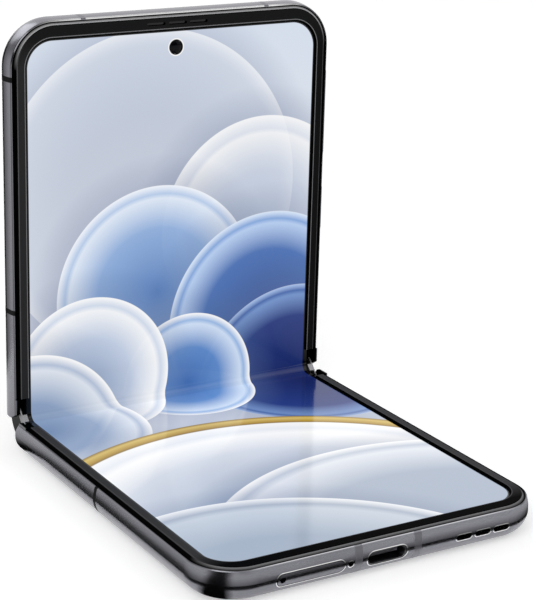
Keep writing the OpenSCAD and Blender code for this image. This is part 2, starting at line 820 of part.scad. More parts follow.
module lid_idler_gears() {
    color(steel_color) spine_place() gear_set(pinion_r, idler_2_phase, gear_turn,
        [[-zone_1, zone_1]], [-mid_shaft, mid_shaft]);
}

module lid_drive_gears() {
    color(steel_color) spine_place() gear_set(drive_y, drive_2_phase, -gear_turn,
        [[zone_2, zone_3], [-zone_1, zone_1]], [-mid_shaft, end_shaft]);
}

module hinge_end_caps() {
    color(steel_color) spine_place() both_sides() end_cap();
}

module display_fold() {
    color(screen_color) spine_place() outline_x(-panel_x, panel_x) fold_sheet();
}

// ---- lid ----

module key_cut(y, len) {
    slot_x(y, key_z, len + 2 * seat_gap, key_h + 2 * seat_gap, key_floor, half_w + 1);
    translate([half_w - 6, y, key_z]) rotate([0, 90, 0]) cylinder(r = key_stem_w / 2 + 0.1, h = 7);
}

module key(y, len) {
    intersection() {
        slot_x(y, key_z, len, key_h, key_floor + key_travel + seat_gap, body_w / 2 + key_proud);
        translate([body_w / 2 + key_proud - key_crown_r, y, key_z]) rotate([90, 0, 0])
            cylinder(r = key_crown_r, h = len + 1, center = true, $fn = 256);
    }
    stem_end = cell_x + key_travel + key_stem_gap;
    translate([stem_end, y, key_z]) rotate([0, 90, 0]) cylinder(r = key_stem_w / 2, h = key_floor + 1 - stem_end);
}

module lid_frame() {
    color(rail_color) lid_place() difference() {
        half_frame();
        band_slabs(top_bands, antenna_gap, lid_side_bands);
        key_cut(power_y, power_len);
        key_cut(volume_y, volume_len);
        for (x = [-10.4, -7.8, -5.2, 16.3]) translate([x, end_y + 1, -3.7]) rotate([90, 0, 0])
            cylinder(r = 0.35, h = 7);
        for (i = [0, 1]) translate([camera_x - i * camera_pitch, camera_y, mid_z - 0.35])
            cylinder(r = ring_r - 0.9, h = 0.4);
        translate([0, front_cam_y, mid_z - 1]) cylinder(r = front_hole_r + 0.6, h = 3);
        pad(earpiece_x - 4, earpiece_x + 4, earpiece_y - 3, earpiece_y - 1.6, mid_z - 1, 1, 0.6);
    }
}

module lid_antenna_bands() {
    color(black_color) lid_place() intersection() {
        half_frame();
        band_slabs(top_bands, antenna_gap, lid_side_bands);
    }
}

module lid_back_glass() {
    color(black_color) lid_place() difference() {
        glass_plate();
        for (i = [0, 1]) translate([camera_x - i * camera_pitch, camera_y, -half_t - 1])
            cylinder(r = ring_r - 0.7, h = 3);
        translate([flash_x, camera_y, -half_t - 1]) cylinder(r = 2, h = 3);
    }
}

module lid_bezel() {
    color(black_color) lid_place() difference() {
        bezel();
        for (x = [-4.97, 0.11, 5.1]) translate([x, earpiece_y, -0.2]) linear_extrude(2) {
            square([3.7, 0.6], center = true);
            for (s = [-1, 1]) translate([s * 1.85, 0]) circle(0.3);
        }
    }
}

module lid_display() {
    color(screen_color) lid_place() difference() {
        panel();
        translate([0, front_cam_y, -2]) cylinder(r = front_hole_r, h = 4);
    }
}

module lid_support_plate() {
    color(steel_color) lid_place() difference() {
        support_sheet();
        translate([0, front_cam_y, -2]) cylinder(r = front_hole_r + 0.3, h = 4);
    }
}

module lid_wing_plate() {
    color(steel_color) lid_place() wing_plate();
}

module lid_swing_arms() {
    color(steel_color) lid_place() swing_arms(1, lid_sector_phase);
}

module lid_hinge_screws() {
    color(steel_color) lid_place() hinge_screws(1);
}

lid_board_start = camera_y - 26;

module lid_battery() {
    color(black_color) lid_place() cell(pocket_start + 0.5, lid_board_start - 3);
}

module main_board() {
    color([0.05, 0.25, 0.16]) lid_place() {
        difference() {
            pad(-cell_x, cell_x, lid_board_start, end_y - glass_inset - 4, mid_z - 1.6, mid_z - 0.9, 4);
            for (c = [[camera_x, main_camera_w], [camera_x - camera_pitch, wide_camera_w]]) {
                half = c[1] / 2 + board_gap;
                pad(c[0] - half, c[0] + half, camera_y - half, camera_y + half, -half_t, 0, 0.5);
            }
            pad(-4.5, earpiece_x + earpiece_w / 2 + 0.6, front_cam_y - 3.8, end_y, -half_t, 0, 0.5);
        }
        pad(-inner_x + 3, -6, lid_board_start + 2, lid_board_start + 16, mid_z - 2.6, mid_z - 1.6, 0.8);
        pad(-3, inner_x - 8, lid_board_start + 3, lid_board_start + 14, mid_z - 2.4, mid_z - 1.6, 0.8);
    }
}

module cover_display() {
    color([0.08, 0.08, 0.1]) lid_place()
        pad(-inner_x + 1, inner_x - 1, pocket_start + 1, camera_y - ring_r - 2, glass_z, glass_z + 0.1, 3);
}

// Rear camera: square module with a round barrel that points out of the back
module rear_camera(x, size) {
    pad(x - size / 2, x + size / 2, camera_y - size / 2, camera_y + size / 2, glass_z + 1.4, mid_z - 0.5, 1);
    translate([x, camera_y, -half_t - ring_h + 0.9]) difference() {
        cylinder(r = ring_r - 2.4, h = half_t + ring_h - 0.9 + glass_z + 1.5);
        translate([0, 0, -0.01]) cylinder(r1 = ring_r - 3, r2 = ring_r - 4.6, h = 1);
    }
}

module wide_camera() {
    color(black_color) lid_place() rear_camera(camera_x - camera_pitch, wide_camera_w);
}

module main_camera() {
    color(black_color) lid_place() rear_camera(camera_x, main_camera_w);
}

module camera_rings() {
    color(rail_color) lid_place() for (i = [0, 1])
        translate([camera_x - i * camera_pitch, camera_y, -half_t - ring_h]) rotate_extrude() difference() {
            union() {
                translate([ring_r - 2.2, 0.4]) square([2.2, ring_h - 0.4]);
                translate([ring_r - 2.2, 0]) square([1.8, 1]);
                translate([ring_r - 0.4, 0.4]) circle(0.4);
                translate([ring_r - 2.2, ring_h - 0.01]) square([1.4, glass_t + 0.4]);
            }
            translate([0, 0.15]) square([ring_r - 1.5, 0.6]);
        }
}

module camera_glasses() {
    color([0.1, 0.12, 0.16]) lid_place() for (i = [0, 1])
        translate([camera_x - i * camera_pitch, camera_y, -half_t - ring_h + 0.15])
            cylinder(r = ring_r - 1.5 - seat_gap / 2, h = 0.6);
}

module flash_lens() {
    color([0.95, 0.93, 0.8]) lid_place() translate([flash_x, camera_y, -half_t]) cylinder(r = 1.95, h = 1.6);
}

module front_camera() {
    color(black_color) lid_place() translate([0, front_cam_y, 0]) {
        translate([0, 0, mid_z - 2.4]) cylinder(r = front_barrel_r, h = 2.35);
        translate([0, 0, mid_z - 0.1]) cylinder(r = front_hole_r - 0.1, h = -mid_z);
    }
}

module earpiece() {
    color([0.1, 0.1, 0.11]) lid_place()
        pad(earpiece_x - earpiece_w / 2, earpiece_x + earpiece_w / 2, end_y - glass_inset - 4.6,
            end_y - glass_inset - 1.3, mid_z - 2.8, mid_z - 0.1, 0.8);
}

module power_key() {
    color(rail_color) lid_place() key(power_y, power_len);
}

module volume_key() {
    color(rail_color) lid_place() key(volume_y, volume_len);
}

base_frame();
base_antenna_bands();
base_back_glass();
base_bezel();
base_display();
base_support_plate();
base_wing_plate();
base_swing_arms();
base_hinge_screws();
base_battery();
sub_board();
usb_port();
loudspeaker();
haptic_motor();
card_tray();
hinge_spine();
hinge_brackets();
base_drive_gears();
base_idler_gears();
lid_idler_gears();
lid_drive_gears();
hinge_end_caps();
display_fold();
lid_frame();
lid_antenna_bands();
lid_back_glass();
lid_bezel();
lid_display();
lid_support_plate();
lid_wing_plate();
lid_swing_arms();
lid_hinge_screws();
lid_battery();
main_board();
cover_display();
wide_camera();
main_camera();
camera_rings();
camera_glasses();
flash_lens();
front_camera();
earpiece();
power_key();
volume_key();
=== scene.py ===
import bpy
import math
from mathutils import Matrix, Vector


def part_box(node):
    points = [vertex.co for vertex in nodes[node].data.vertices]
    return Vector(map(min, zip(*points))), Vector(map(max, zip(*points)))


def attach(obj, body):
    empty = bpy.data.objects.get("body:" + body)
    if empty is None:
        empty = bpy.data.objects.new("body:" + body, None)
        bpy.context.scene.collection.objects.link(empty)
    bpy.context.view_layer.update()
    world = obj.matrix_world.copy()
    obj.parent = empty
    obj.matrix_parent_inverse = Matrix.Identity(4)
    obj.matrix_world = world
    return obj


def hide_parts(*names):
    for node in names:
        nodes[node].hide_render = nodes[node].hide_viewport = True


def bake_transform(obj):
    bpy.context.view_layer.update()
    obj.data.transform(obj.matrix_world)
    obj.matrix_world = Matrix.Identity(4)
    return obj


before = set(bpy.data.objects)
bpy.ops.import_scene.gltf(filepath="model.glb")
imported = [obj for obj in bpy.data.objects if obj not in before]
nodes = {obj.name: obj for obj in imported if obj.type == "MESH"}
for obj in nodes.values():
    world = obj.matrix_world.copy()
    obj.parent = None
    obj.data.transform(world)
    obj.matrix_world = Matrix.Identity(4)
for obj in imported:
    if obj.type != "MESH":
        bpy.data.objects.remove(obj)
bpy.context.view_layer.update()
mm = 0.001


def hexColor(code):
    # sRGB hex to the linear colour that the shader sockets take
    parts = [int(code[i:i + 2], 16) / 255 for i in (1, 3, 5)]
    return tuple(c / 12.92 if c <= 0.04045 else ((c + 0.055) / 1.055) ** 2.4 for c in parts) + (1,)


def addNode(tree, kind, settings={}, links={}, out=None):
    # numbers and socket names set inputs, hex codes become colours, "stops" fills a ramp, and other names
    # are properties; gives the node, or one of its outputs
    node = tree.nodes.new(kind)
    for key, value in settings.items():
        if key == "stops":
            ramp = node.color_ramp
            while len(ramp.elements) < len(value):
                ramp.elements.new(1)
            for element, (place, code, *cover) in zip(ramp.elements, value):
                element.position = place
                element.color = hexColor(code)[:3] + (cover[0] if cover else 1,)
        elif isinstance(key, int) or key in node.inputs:
            node.inputs[key].default_value = hexColor(value) if isinstance(value, str) else value
        else:
            setattr(node, key, value)
    for key, source in links.items():
        tree.links.new(source, node.inputs[key])
    return node if out is None else node.outputs[out]


def startMaterial(name):
    material = bpy.data.materials.new(name)
    material.use_nodes = True
    tree = material.node_tree
    tree.nodes.clear()
    shader = addNode(tree, "ShaderNodeBsdfPrincipled")
    addNode(tree, "ShaderNodeOutputMaterial", {}, {0: shader.outputs[0]})
    place = addNode(tree, "ShaderNodeTexCoord").outputs["Object"]
    return material, tree, shader, place


def feed(tree, shader, constants, patterns):
    # what is the same all over stands on the shader's own sockets, and only patterns are linked
    for name, value in constants.items():
        shader.inputs[name].default_value = value
    for name, source in patterns.items():
        tree.links.new(source, shader.inputs[name])


def dress(material, *names):
    for name in names:
        mesh = nodes[name].data
        mesh.materials.clear()
        mesh.materials.append(material)


print("places taken from the frame")

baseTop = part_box("base_display")[1].z             # display surface of the lower half
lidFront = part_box("lid_display")[0].y             # display surface of the lid
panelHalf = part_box("base_display")[1].x           # half width of the folding panel
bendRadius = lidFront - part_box("base_display")[1].y
halfTurn = math.pi / 4                            # the bend from a flat half to the middle of the spine
halfBend = bendRadius * halfTurn                  # length of the panel from the fold line to a flat half
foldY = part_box("base_display")[1].y + halfBend    # fold line on the lower half
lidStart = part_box("lid_display")[0].z - halfBend  # fold line on the lid
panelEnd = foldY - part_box("base_display")[0].y
bendCentre = Vector((0, lidFront - bendRadius, baseTop + bendRadius))

# rounded outlines, the same on both halves: half width, length from the fold line, corner radius
frontEdge = {"side": 37.73 * mm, "end": 84.98 * mm, "corner": 9.48 * mm}      # front edge of the rails
bezelOpening = {"side": 34.76 * mm, "end": 81.58 * mm, "corner": 6.08 * mm}   # inner edge of the bezels' top
bezelShoulder = {"side": 36.56 * mm, "end": 84.08 * mm, "corner": 8.31 * mm}  # outer edge of the bezels' top


def halfSpot(tree, place, half):
    # across, out from the fold line and up from the display, on either half
    moves = {"base": {"Location": (0, -foldY, -baseTop)},
             "lid": {"Location": (0, -lidStart, lidFront), "Rotation": (-math.pi / 2, 0, 0)}}
    return addNode(tree, "ShaderNodeMapping", moves[half], {0: place}, 0)


def distanceOutside(tree, spot, block):
    # distance outside a block round the origin, given by its half sizes
    steps = [{"operation": "ABSOLUTE"}, {"operation": "SUBTRACT", 1: block}, {"operation": "MAXIMUM"}]
    for settings in steps:
        spot = addNode(tree, "ShaderNodeVectorMath", settings, {0: spot}, 0)
    return addNode(tree, "ShaderNodeVectorMath", {"operation": "LENGTH"}, {0: spot}, 1)


def outlineDistance(tree, spot, outline):
    # distance from the corner centres of a rounded outline, which itself lies at its corner radius
    corner = outline["corner"]
    return distanceOutside(tree, spot, (outline["side"] - corner, outline["end"] - corner, 1))


def layOver(tree, under, paint, value, start, end):
    # lays a paint, a hex code or a socket, over what is under it as the value goes from start to end
    share = addNode(tree, "ShaderNodeMapRange", {"From Min": start, "From Max": end}, {"Value": value}, 0)
    mix = addNode(tree, "ShaderNodeMix", {"data_type": "RGBA"}, {0: share, 6: under})
    if isinstance(paint, str):
        mix.inputs[7].default_value = hexColor(paint)
    else:
        tree.links.new(paint, mix.inputs[7])
    return mix.outputs[2]


print("camera and light")

camera = {"fromFold": (-193.04 * mm, -357.31 * mm, 153.04 * mm), "azimuth": -31.27, "elevation": 17.82,
          "roll": -1.57, "lens": 116.65, "sensor": 36, "clipStart": 0.01}
azimuth = math.radians(camera["azimuth"])
elevation = math.radians(camera["elevation"])
roll = math.radians(camera["roll"])
back = Vector((math.sin(azimuth) * math.cos(elevation), -math.cos(azimuth) * math.cos(elevation),
               math.sin(elevation)))
right = Vector((math.cos(azimuth), math.sin(azimuth), 0))
up = back.cross(right)
turned = Matrix((math.cos(roll) * right - math.sin(roll) * up,
                 math.sin(roll) * right + math.cos(roll) * up, back)).transposed()
standing = Vector((0, lidFront, baseTop)) + Vector(camera["fromFold"])
bpy.ops.object.camera_add()
view = bpy.context.object
view.matrix_world = Matrix.Translation(standing) @ turned.to_4x4()
view.data.lens = camera["lens"]
view.data.sensor_width = camera["sensor"]
view.data.clip_start = camera["clipStart"]
bpy.context.scene.camera = view
bpy.context.scene.view_settings.view_transform = "Standard"

# reflections see a belt of dimmer studio wall above the horizon (height, tone), with two clear openings:
# behind and right of the phone, and a narrow one in front (direction, where it starts and is fully open)
studio = {"ambient": 0.5,
          "belt": [(0, "#e8e8e8"), (0.03, "#9a9a9a"), (0.08, "#484848"), (0.3, "#585858"), (0.7, "#e6e6e6")],
          "openings": [((0.51, 0.86, 0), 0.3, 0.7), ((-0.418, -0.909, 0), 0.97, 0.99)]}
world = bpy.data.worlds.new("studio")
bpy.context.scene.world = world
world.use_nodes = True
tree = world.node_tree
tree.nodes.clear()
wall = addNode(tree, "ShaderNodeTexCoord").outputs["Generated"]
wallHeight = addNode(tree, "ShaderNodeSeparateXYZ", {}, {0: wall}, 2)
belt = addNode(tree, "ShaderNodeValToRGB", {"stops": studio["belt"]}, {0: wallHeight}, 0)
shares = []
for direction, start, end in studio["openings"]:
    along = addNode(tree, "ShaderNodeVectorMath", {"operation": "DOT_PRODUCT", 1: direction}, {0: wall}, 1)
    shares.append(addNode(tree, "ShaderNodeMapRange", {"From Min": start, "From Max": end},
                          {"Value": along}, 0))
clear = addNode(tree, "ShaderNodeMath", {"operation": "MAXIMUM"}, dict(enumerate(shares)), 0)
mirrored = addNode(tree, "ShaderNodeMix", {"data_type": "RGBA", 7: "#ffffff"}, {0: clear, 6: belt}, 2)
ray = addNode(tree, "ShaderNodeLightPath")
direct = addNode(tree, "ShaderNodeMath", {"operation": "ADD"},
                 {0: ray.outputs["Is Camera Ray"], 1: ray.outputs["Is Transmission Ray"]}, 0)
plain = addNode(tree, "ShaderNodeMapRange", {"To Min": studio["ambient"], "To Max": 1.0},
                {"Value": direct}, 0)
level = addNode(tree, "ShaderNodeMix", {"data_type": "FLOAT"},
                {0: ray.outputs["Is Glossy Ray"], 2: plain, 3: mirrored}, 0)
sky = addNode(tree, "ShaderNodeBackground", {"Color": "#ffffff"}, {"Strength": level}, 0)
addNode(tree, "ShaderNodeOutputWorld", {}, {0: sky})

lamps = [
    {"name": "keyLight", "place": (-0.45, -0.35, 0.55), "size": 0.5, "power": 1.6},
    {"name": "fillLight", "place": (0.5, -0.3, 0.4), "size": 0.6, "power": 0.8},
    {"name": "rimLight", "place": (-0.2, 0.6, 0.5), "size": 0.4, "power": 0.8},
]
middleOfPhone = Vector((0, 0.02, 0.04))
for lamp in lamps:
    bpy.ops.object.light_add(type="AREA", location=lamp["place"])
    light = bpy.context.object
    light.name = lamp["name"]
    light.data.size = lamp["size"]
    light.data.energy = lamp["power"]
    light.rotation_euler = (middleOfPhone - light.location).to_track_quat("-Z", "Y").to_euler()

# matt white paper: it keeps the shadow, and it brightens with distance (metres) to meet the background
sweep = {"size": 4, "drop": 0.05 * mm, "near": 0.3, "far": 1.2, "nearGlow": 0.4, "farGlow": 0.56,
         "color": "#f2f2f2", "rough": 0.9, "shine": 0.1}
bpy.ops.mesh.primitive_plane_add(size=sweep["size"], location=(0, 0, -sweep["drop"]))
floor = bpy.context.object
floor.name = "floor"
paper, tree, shader, place = startMaterial("white paper sweep")
away = addNode(tree, "ShaderNodeVectorMath", {"operation": "LENGTH"}, {0: place}, 1)
level = addNode(tree, "ShaderNodeMapRange", {"From Min": sweep["near"], "From Max": sweep["far"],
                                             "To Min": sweep["nearGlow"], "To Max": sweep["farGlow"]},
                {"Value": away}, 0)
# camera, glossy and transmission rays see the white background, and light from the floor stays plain
ray = addNode(tree, "ShaderNodeLightPath")
seen = addNode(tree, "ShaderNodeMath", {"operation": "ADD"},
               {0: ray.outputs["Is Camera Ray"], 1: ray.outputs["Is Glossy Ray"]}, 0)
seen = addNode(tree, "ShaderNodeMath", {"operation": "ADD", "use_clamp": True},
               {0: seen, 1: ray.outputs["Is Transmission Ray"]}, 0)
glow = addNode(tree, "ShaderNodeMath", {"operation": "MULTIPLY"}, {0: seen, 1: level}, 0)
feed(tree, shader, {"Base Color": hexColor(sweep["color"]), "Roughness": sweep["rough"],
                    "Specular IOR Level": sweep["shine"], "Emission Color": hexColor("#ffffff")},
     {"Emission Strength": glow})
floor.data.materials.append(paper)

print("cards for the reflections")

# graded cards stand round the phone, as for a product photograph: the metal mirrors them as a soft dark line,
# and nothing else sees them, so what they give is a painted reflection; sizes and places in mm, tones from
# one edge to the other
# the foot card is a dark sheet on the floor round the phone: its dark band stands in for the phone's shadow
# on the table, as painted shade in the rails' reflection
footCard = {"size": 220, "height": 0.25, "corner": 9.9, "gap": (2.3, 2.9), "reach": 60, "fade": 5,
            "tones": [(0, "#080808"), (0.1, "#080808"), (0.14, "#6e6e6e"), (0.19, "#aeaeae"),
                      (0.28, "#dedede"), (0.5, "#f8f8f8"), (1, "#ffffff")]}
lidCard = {"size": (64, 107), "place": (-68, 75, 58.5), "azimuth": 0,
           "tones": [(0, "#f8f8f8"), (0.3, "#f4f4f4"), (0.5, "#e2e2e2"), (0.66, "#b4b4b4"), (0.8, "#303030"),
                     (1, "#101010")]}
cornerCard = {"size": (130, 90), "place": (-147, -138, 44), "azimuth": -48.8,
              "tones": [(0, "#c8c8c8"), (0.25, "#404040"), (0.4, "#080808"), (0.6, "#080808"),
                        (0.75, "#404040"), (1, "#c8c8c8")]}
# slant: how far across for each step out from the corner, where the wedge starts to show and is full
cornerWedge = {"size": (500, 500), "place": (-28, -33, 0.4), "azimuth": -54, "slant": (0.5, 0.25),
               "nearest": 0.001, "tones": [(0, "#0c0c0c"), (1, "#0c0c0c")]}
# where a standing card fades in, in shares of its height from its middle
cardEdges = {"top": (0.5, 0.3), "foot": (-0.5, -0.46)}


def addCard(name, tones, toneOf, scale=(1, 1, 1), **placing):
    # a paper card that is bright or dark by itself, takes no light, and shows only in reflections, as a
    # painted reflection
    bpy.ops.mesh.primitive_plane_add(**placing)
    plane = bpy.context.object
    plane.name = name
    plane.scale = scale
    material, tree, shader, place = startMaterial(name.replace("_", " ") + ", graded paper")
    share, cover = toneOf(tree, place)
    tone = addNode(tree, "ShaderNodeValToRGB", {"stops": tones}, {0: share}, 0)
    glow = addNode(tree, "ShaderNodeEmission", {}, {0: tone}, 0)
    gap = addNode(tree, "ShaderNodeBsdfTransparent", out=0)
    mix = addNode(tree, "ShaderNodeMixShader", {}, {0: cover, 1: gap, 2: glow}, 0)
    output = next(node for node in tree.nodes if node.type == "OUTPUT_MATERIAL")
    tree.links.new(mix, output.inputs[0])
    tree.nodes.remove(shader)
    plane.data.materials.append(material)
    plane.visible_camera = False
    plane.visible_diffuse = False
    plane.visible_shadow = False
    plane.visible_transmission = False


def turnedCard(name, card, toneOf, lean):
    width, height = card["size"]
    addCard(name, card["tones"], toneOf, scale=(width * mm, height * mm, 1), size=1,
            location=Vector(card["place"]) * mm, rotation=(lean, 0, math.radians(card["azimuth"])))


def fromFoot(tree, place):
    # distance outside the outline of the phone on the table
    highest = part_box("base_frame")[1]
    corner = footCard["corner"] * mm
    out = outlineDistance(tree, place, {"side": highest.x, "end": highest.y, "corner": corner})
    out = addNode(tree, "ShaderNodeMath", {"operation": "SUBTRACT", 1: corner}, {0: out}, 0)
    gapStart, gapEnd = footCard["gap"]
    reach = footCard["reach"]
    start = addNode(tree, "ShaderNodeMapRange", {"From Min": gapStart * mm, "From Max": gapEnd * mm},
                    {"Value": out}, 0)
    end = addNode(tree, "ShaderNodeMapRange",
                  {"From Min": reach * mm, "From Max": (reach - footCard["fade"]) * mm}, {"Value": out}, 0)
    cover = addNode(tree, "ShaderNodeMath", {"operation": "MULTIPLY"}, {0: start, 1: end}, 0)
    share = addNode(tree, "ShaderNodeMapRange", {"From Max": reach * mm}, {"Value": out}, 0)
    return share, cover


def acrossCard(tree, place):
    # from the left edge of a standing card to its right edge, fading out at its top and foot
    parts = addNode(tree, "ShaderNodeSeparateXYZ", {}, {0: place})
    fades = [addNode(tree, "ShaderNodeMapRange", {"From Min": start, "From Max": end},
                     {"Value": parts.outputs[1]}, 0) for start, end in cardEdges.values()]
    cover = addNode(tree, "ShaderNodeMath", {"operation": "MULTIPLY"}, dict(enumerate(fades)), 0)
    share = addNode(tree, "ShaderNodeMapRange", {"From Min": -0.5, "From Max": 0.5},
                    {"Value": parts.outputs[0]}, 0)
    return share, cover


def wedgeOnFloor(tree, place):
    # a wedge of one dark tone that opens outwards from the front left corner
    parts = addNode(tree, "ShaderNodeSeparateXYZ", {}, {0: place})
    side = addNode(tree, "ShaderNodeMath", {"operation": "ABSOLUTE"}, {0: parts.outputs[0]}, 0)
    out = addNode(tree, "ShaderNodeMath", {"operation": "MULTIPLY", 1: -1}, {0: parts.outputs[1]}, 0)
    out = addNode(tree, "ShaderNodeMath", {"operation": "MAXIMUM", 1: cornerWedge["nearest"]}, {0: out}, 0)
    slant = addNode(tree, "ShaderNodeMath", {"operation": "DIVIDE"}, {0: side, 1: out}, 0)
    start, end = cornerWedge["slant"]
    cover = addNode(tree, "ShaderNodeMapRange", {"From Min": start, "From Max": end}, {"Value": slant}, 0)
    return side, cover


addCard("foot_card", footCard["tones"], fromFoot, size=footCard["size"] * mm,
        location=(0, 0, footCard["height"] * mm))
turnedCard("lid_card", lidCard, acrossCard, math.pi / 2)
turnedCard("corner_card", cornerCard, acrossCard, math.pi / 2)
turnedCard("corner_shade", cornerWedge, wedgeOnFloor, 0)

print("metal finishes")

# the blasted grain is too fine to show, so it is drawn at the coarsest size that still looks even
# the side edge tone is painted shade: the cut edge along the sides is drawn darker than the metal, where it
# faces away from the lamps
rail = {"color": "#8c8c93", "dark": "#818188", "cloud": 18 * mm, "grain": 0.35 * mm, "gloss": (0.2, 0.24),
        "bump": 0.03, "bumpDepth": 0.01 * mm, "shine": 0.01, "shadedSideEdge": "#68686c", "cutGloss": 0.15,
        "cutBlur": 0.02 * mm, "flatEnd": (32 * mm, 24 * mm), "groove": "#020202",
        "grooveIn": (0.19 * mm, 0.22 * mm), "grooveFoot": (-1.9 * mm, -1.7 * mm)}
# the cut front edge at each end: its colour, its width, and the colour round the openings there. The cut is
# polished metal, but its tones are partly painted light: a white painted highlight on the lid's top edge,
# which faces the lamps, and a greyer tone at the port end
portEdge = {"color": "#b4b4b8", "width": 0.09 * mm, "rim": "#ffffff"}
topEdge = {"color": "#ffffff", "width": 0.3 * mm, "rim": "#020202"}

# openings in the two end faces, in mm: place across, width and height; the rim round each is painted light: a
# white painted highlight at the port end, where a chamfer would catch the light, and black painted shade
# round the openings at the top end
openings = {"height": -3.35, "rim": 0.16, "blur": 0.03,
            "port": [(0, 9.04, 3.0), (-16.9, 14.8, 2.7), (-8.2, 1.2, 1.2), (17.73, 3.7, 1.25),
                     (22.18, 3.7, 1.25), (26.63, 3.7, 1.25)],
            "top": [(-10.4, 1.2, 1.2), (-7.8, 1.2, 1.2), (-5.2, 1.2, 1.2), (16.3, 1.0, 1.0)]}


def railMetal(name, half, edge, rims):
    # anodised aluminium, bead blasted: a soft dark sheen, with a bright diamond-cut front edge at the ends
    # that is painted darker along the sides and round the corners, as shade
    material, tree, shader, place = startMaterial(name)
    spot = halfSpot(tree, place, half)
    grain = addNode(tree, "ShaderNodeTexNoise", {"Scale": 1 / rail["grain"], "Detail": 3},
                    {"Vector": place}, 0)
    cloud = addNode(tree, "ShaderNodeTexNoise", {"Scale": 1 / rail["cloud"], "Detail": 2},
                    {"Vector": place}, 0)
    color = addNode(tree, "ShaderNodeValToRGB", {"stops": [(0.3, rail["dark"]), (0.7, rail["color"])]},
                    {0: cloud}, 0)
    parts = addNode(tree, "ShaderNodeSeparateXYZ", {}, {0: spot})
    across = addNode(tree, "ShaderNodeMath", {"operation": "ABSOLUTE"}, {0: parts.outputs[0]}, 0)
    away = addNode(tree, "ShaderNodeMath", {"operation": "ABSOLUTE"}, {0: parts.outputs[1]}, 0)
    # the cut edge keeps the end's bright tone only along the straight of each end; along the sides and round
    # the corners it takes the darker side tone, painted shade
    endZone = addNode(tree, "ShaderNodeMapRange",
                      {"From Min": frontEdge["end"] - frontEdge["corner"] / 2, "From Max": frontEdge["end"]},
                      {"Value": away}, 0)
    straight = addNode(tree, "ShaderNodeMapRange",
                       {"From Min": rail["flatEnd"][0], "From Max": rail["flatEnd"][1]}, {"Value": across}, 0)
    shine = addNode(tree, "ShaderNodeMath", {"operation": "MULTIPLY"}, {0: endZone, 1: straight}, 0)
    edgeColor = addNode(tree, "ShaderNodeMix", {"data_type": "RGBA", 6: rail["shadedSideEdge"], 7: edge["color"]},
                        {0: shine}, 2)
    cut = addNode(tree, "ShaderNodeMapRange", {"From Min": -edge["width"] - rail["cutBlur"],
                                               "From Max": -edge["width"] + rail["cutBlur"]},
                  {"Value": parts.outputs[2]}, 0)
    color = addNode(tree, "ShaderNodeMix", {"data_type": "RGBA"}, {0: cut, 6: color, 7: edgeColor}, 2)
    bright = cut
    # each opening gets a ring of painted light in the end's rim colour: painted highlight round the ports,
    # painted shade round the openings on the lid's top
    for x, width, height in rims:
        centre = (x * mm, 0, openings["height"] * mm)
        near = addNode(tree, "ShaderNodeVectorMath", {"operation": "SUBTRACT", 1: centre}, {0: spot}, 0)
        near = distanceOutside(tree, near, ((width - height) / 2 * mm, 1, 0))
        rim = height / 2 + openings["rim"]
        ring = addNode(tree, "ShaderNodeMapRange", {"From Min": (rim + openings["blur"]) * mm,
                                                    "From Max": (rim - openings["blur"]) * mm},
                       {"Value": near}, 0)
        bright = addNode(tree, "ShaderNodeMath", {"operation": "MAXIMUM"}, {0: bright, 1: ring}, 0)
        ring = addNode(tree, "ShaderNodeMath", {"operation": "MULTIPLY"}, {0: ring, 1: endZone}, 0)
        color = addNode(tree, "ShaderNodeMix", {"data_type": "RGBA", 7: edge["rim"]}, {0: ring, 6: color}, 2)
    # what lies inside the front edge, down to the foot of the groove round the bezel, is coloured black and
    # is not metal
    outline = outlineDistance(tree, spot, frontEdge)
    start, end = rail["grooveIn"]
    groove = addNode(tree, "ShaderNodeMapRange", {"From Min": frontEdge["corner"] - start,
                                                  "From Max": frontEdge["corner"] - end},
                     {"Value": outline}, 0)
    start, end = rail["grooveFoot"]
    upper = addNode(tree, "ShaderNodeMapRange", {"From Min": start, "From Max": end},
                    {"Value": parts.outputs[2]}, 0)
    groove = addNode(tree, "ShaderNodeMath", {"operation": "MULTIPLY"}, {0: groove, 1: upper}, 0)
    color = addNode(tree, "ShaderNodeMix", {"data_type": "RGBA", 7: rail["groove"]}, {0: groove, 6: color}, 2)
    metallic = addNode(tree, "ShaderNodeMapRange", {"To Min": 1.0, "To Max": 0.0}, {"Value": groove}, 0)
    gloss = addNode(tree, "ShaderNodeMapRange", {"To Min": rail["gloss"][0], "To Max": rail["gloss"][1]},
                    {"Value": grain}, 0)
    gloss = addNode(tree, "ShaderNodeMix", {"data_type": "FLOAT", 3: rail["cutGloss"]},
                    {0: bright, 2: gloss}, 0)
    gloss = addNode(tree, "ShaderNodeMix", {"data_type": "FLOAT", 3: 1.0}, {0: groove, 2: gloss}, 0)
    bump = addNode(tree, "ShaderNodeBump", {"Strength": rail["bump"], "Distance": rail["bumpDepth"]},
                   {"Height": grain}, 0)
    feed(tree, shader, {"Specular IOR Level": rail["shine"]},
         {"Metallic": metallic, "Base Color": color, "Roughness": gloss, "Normal": bump})
    return material


dress(railMetal("anodised aluminium rail, lower half", "base", portEdge, openings["port"]), "base_frame")
dress(railMetal("anodised aluminium, card tray", "base", portEdge, []), "card_tray")
dress(railMetal("anodised aluminium rail, lid", "lid", topEdge, openings["top"]), "lid_frame")
dress(railMetal("anodised aluminium, keys and camera rings", "lid", topEdge, []),
      "power_key", "volume_key", "camera_rings")

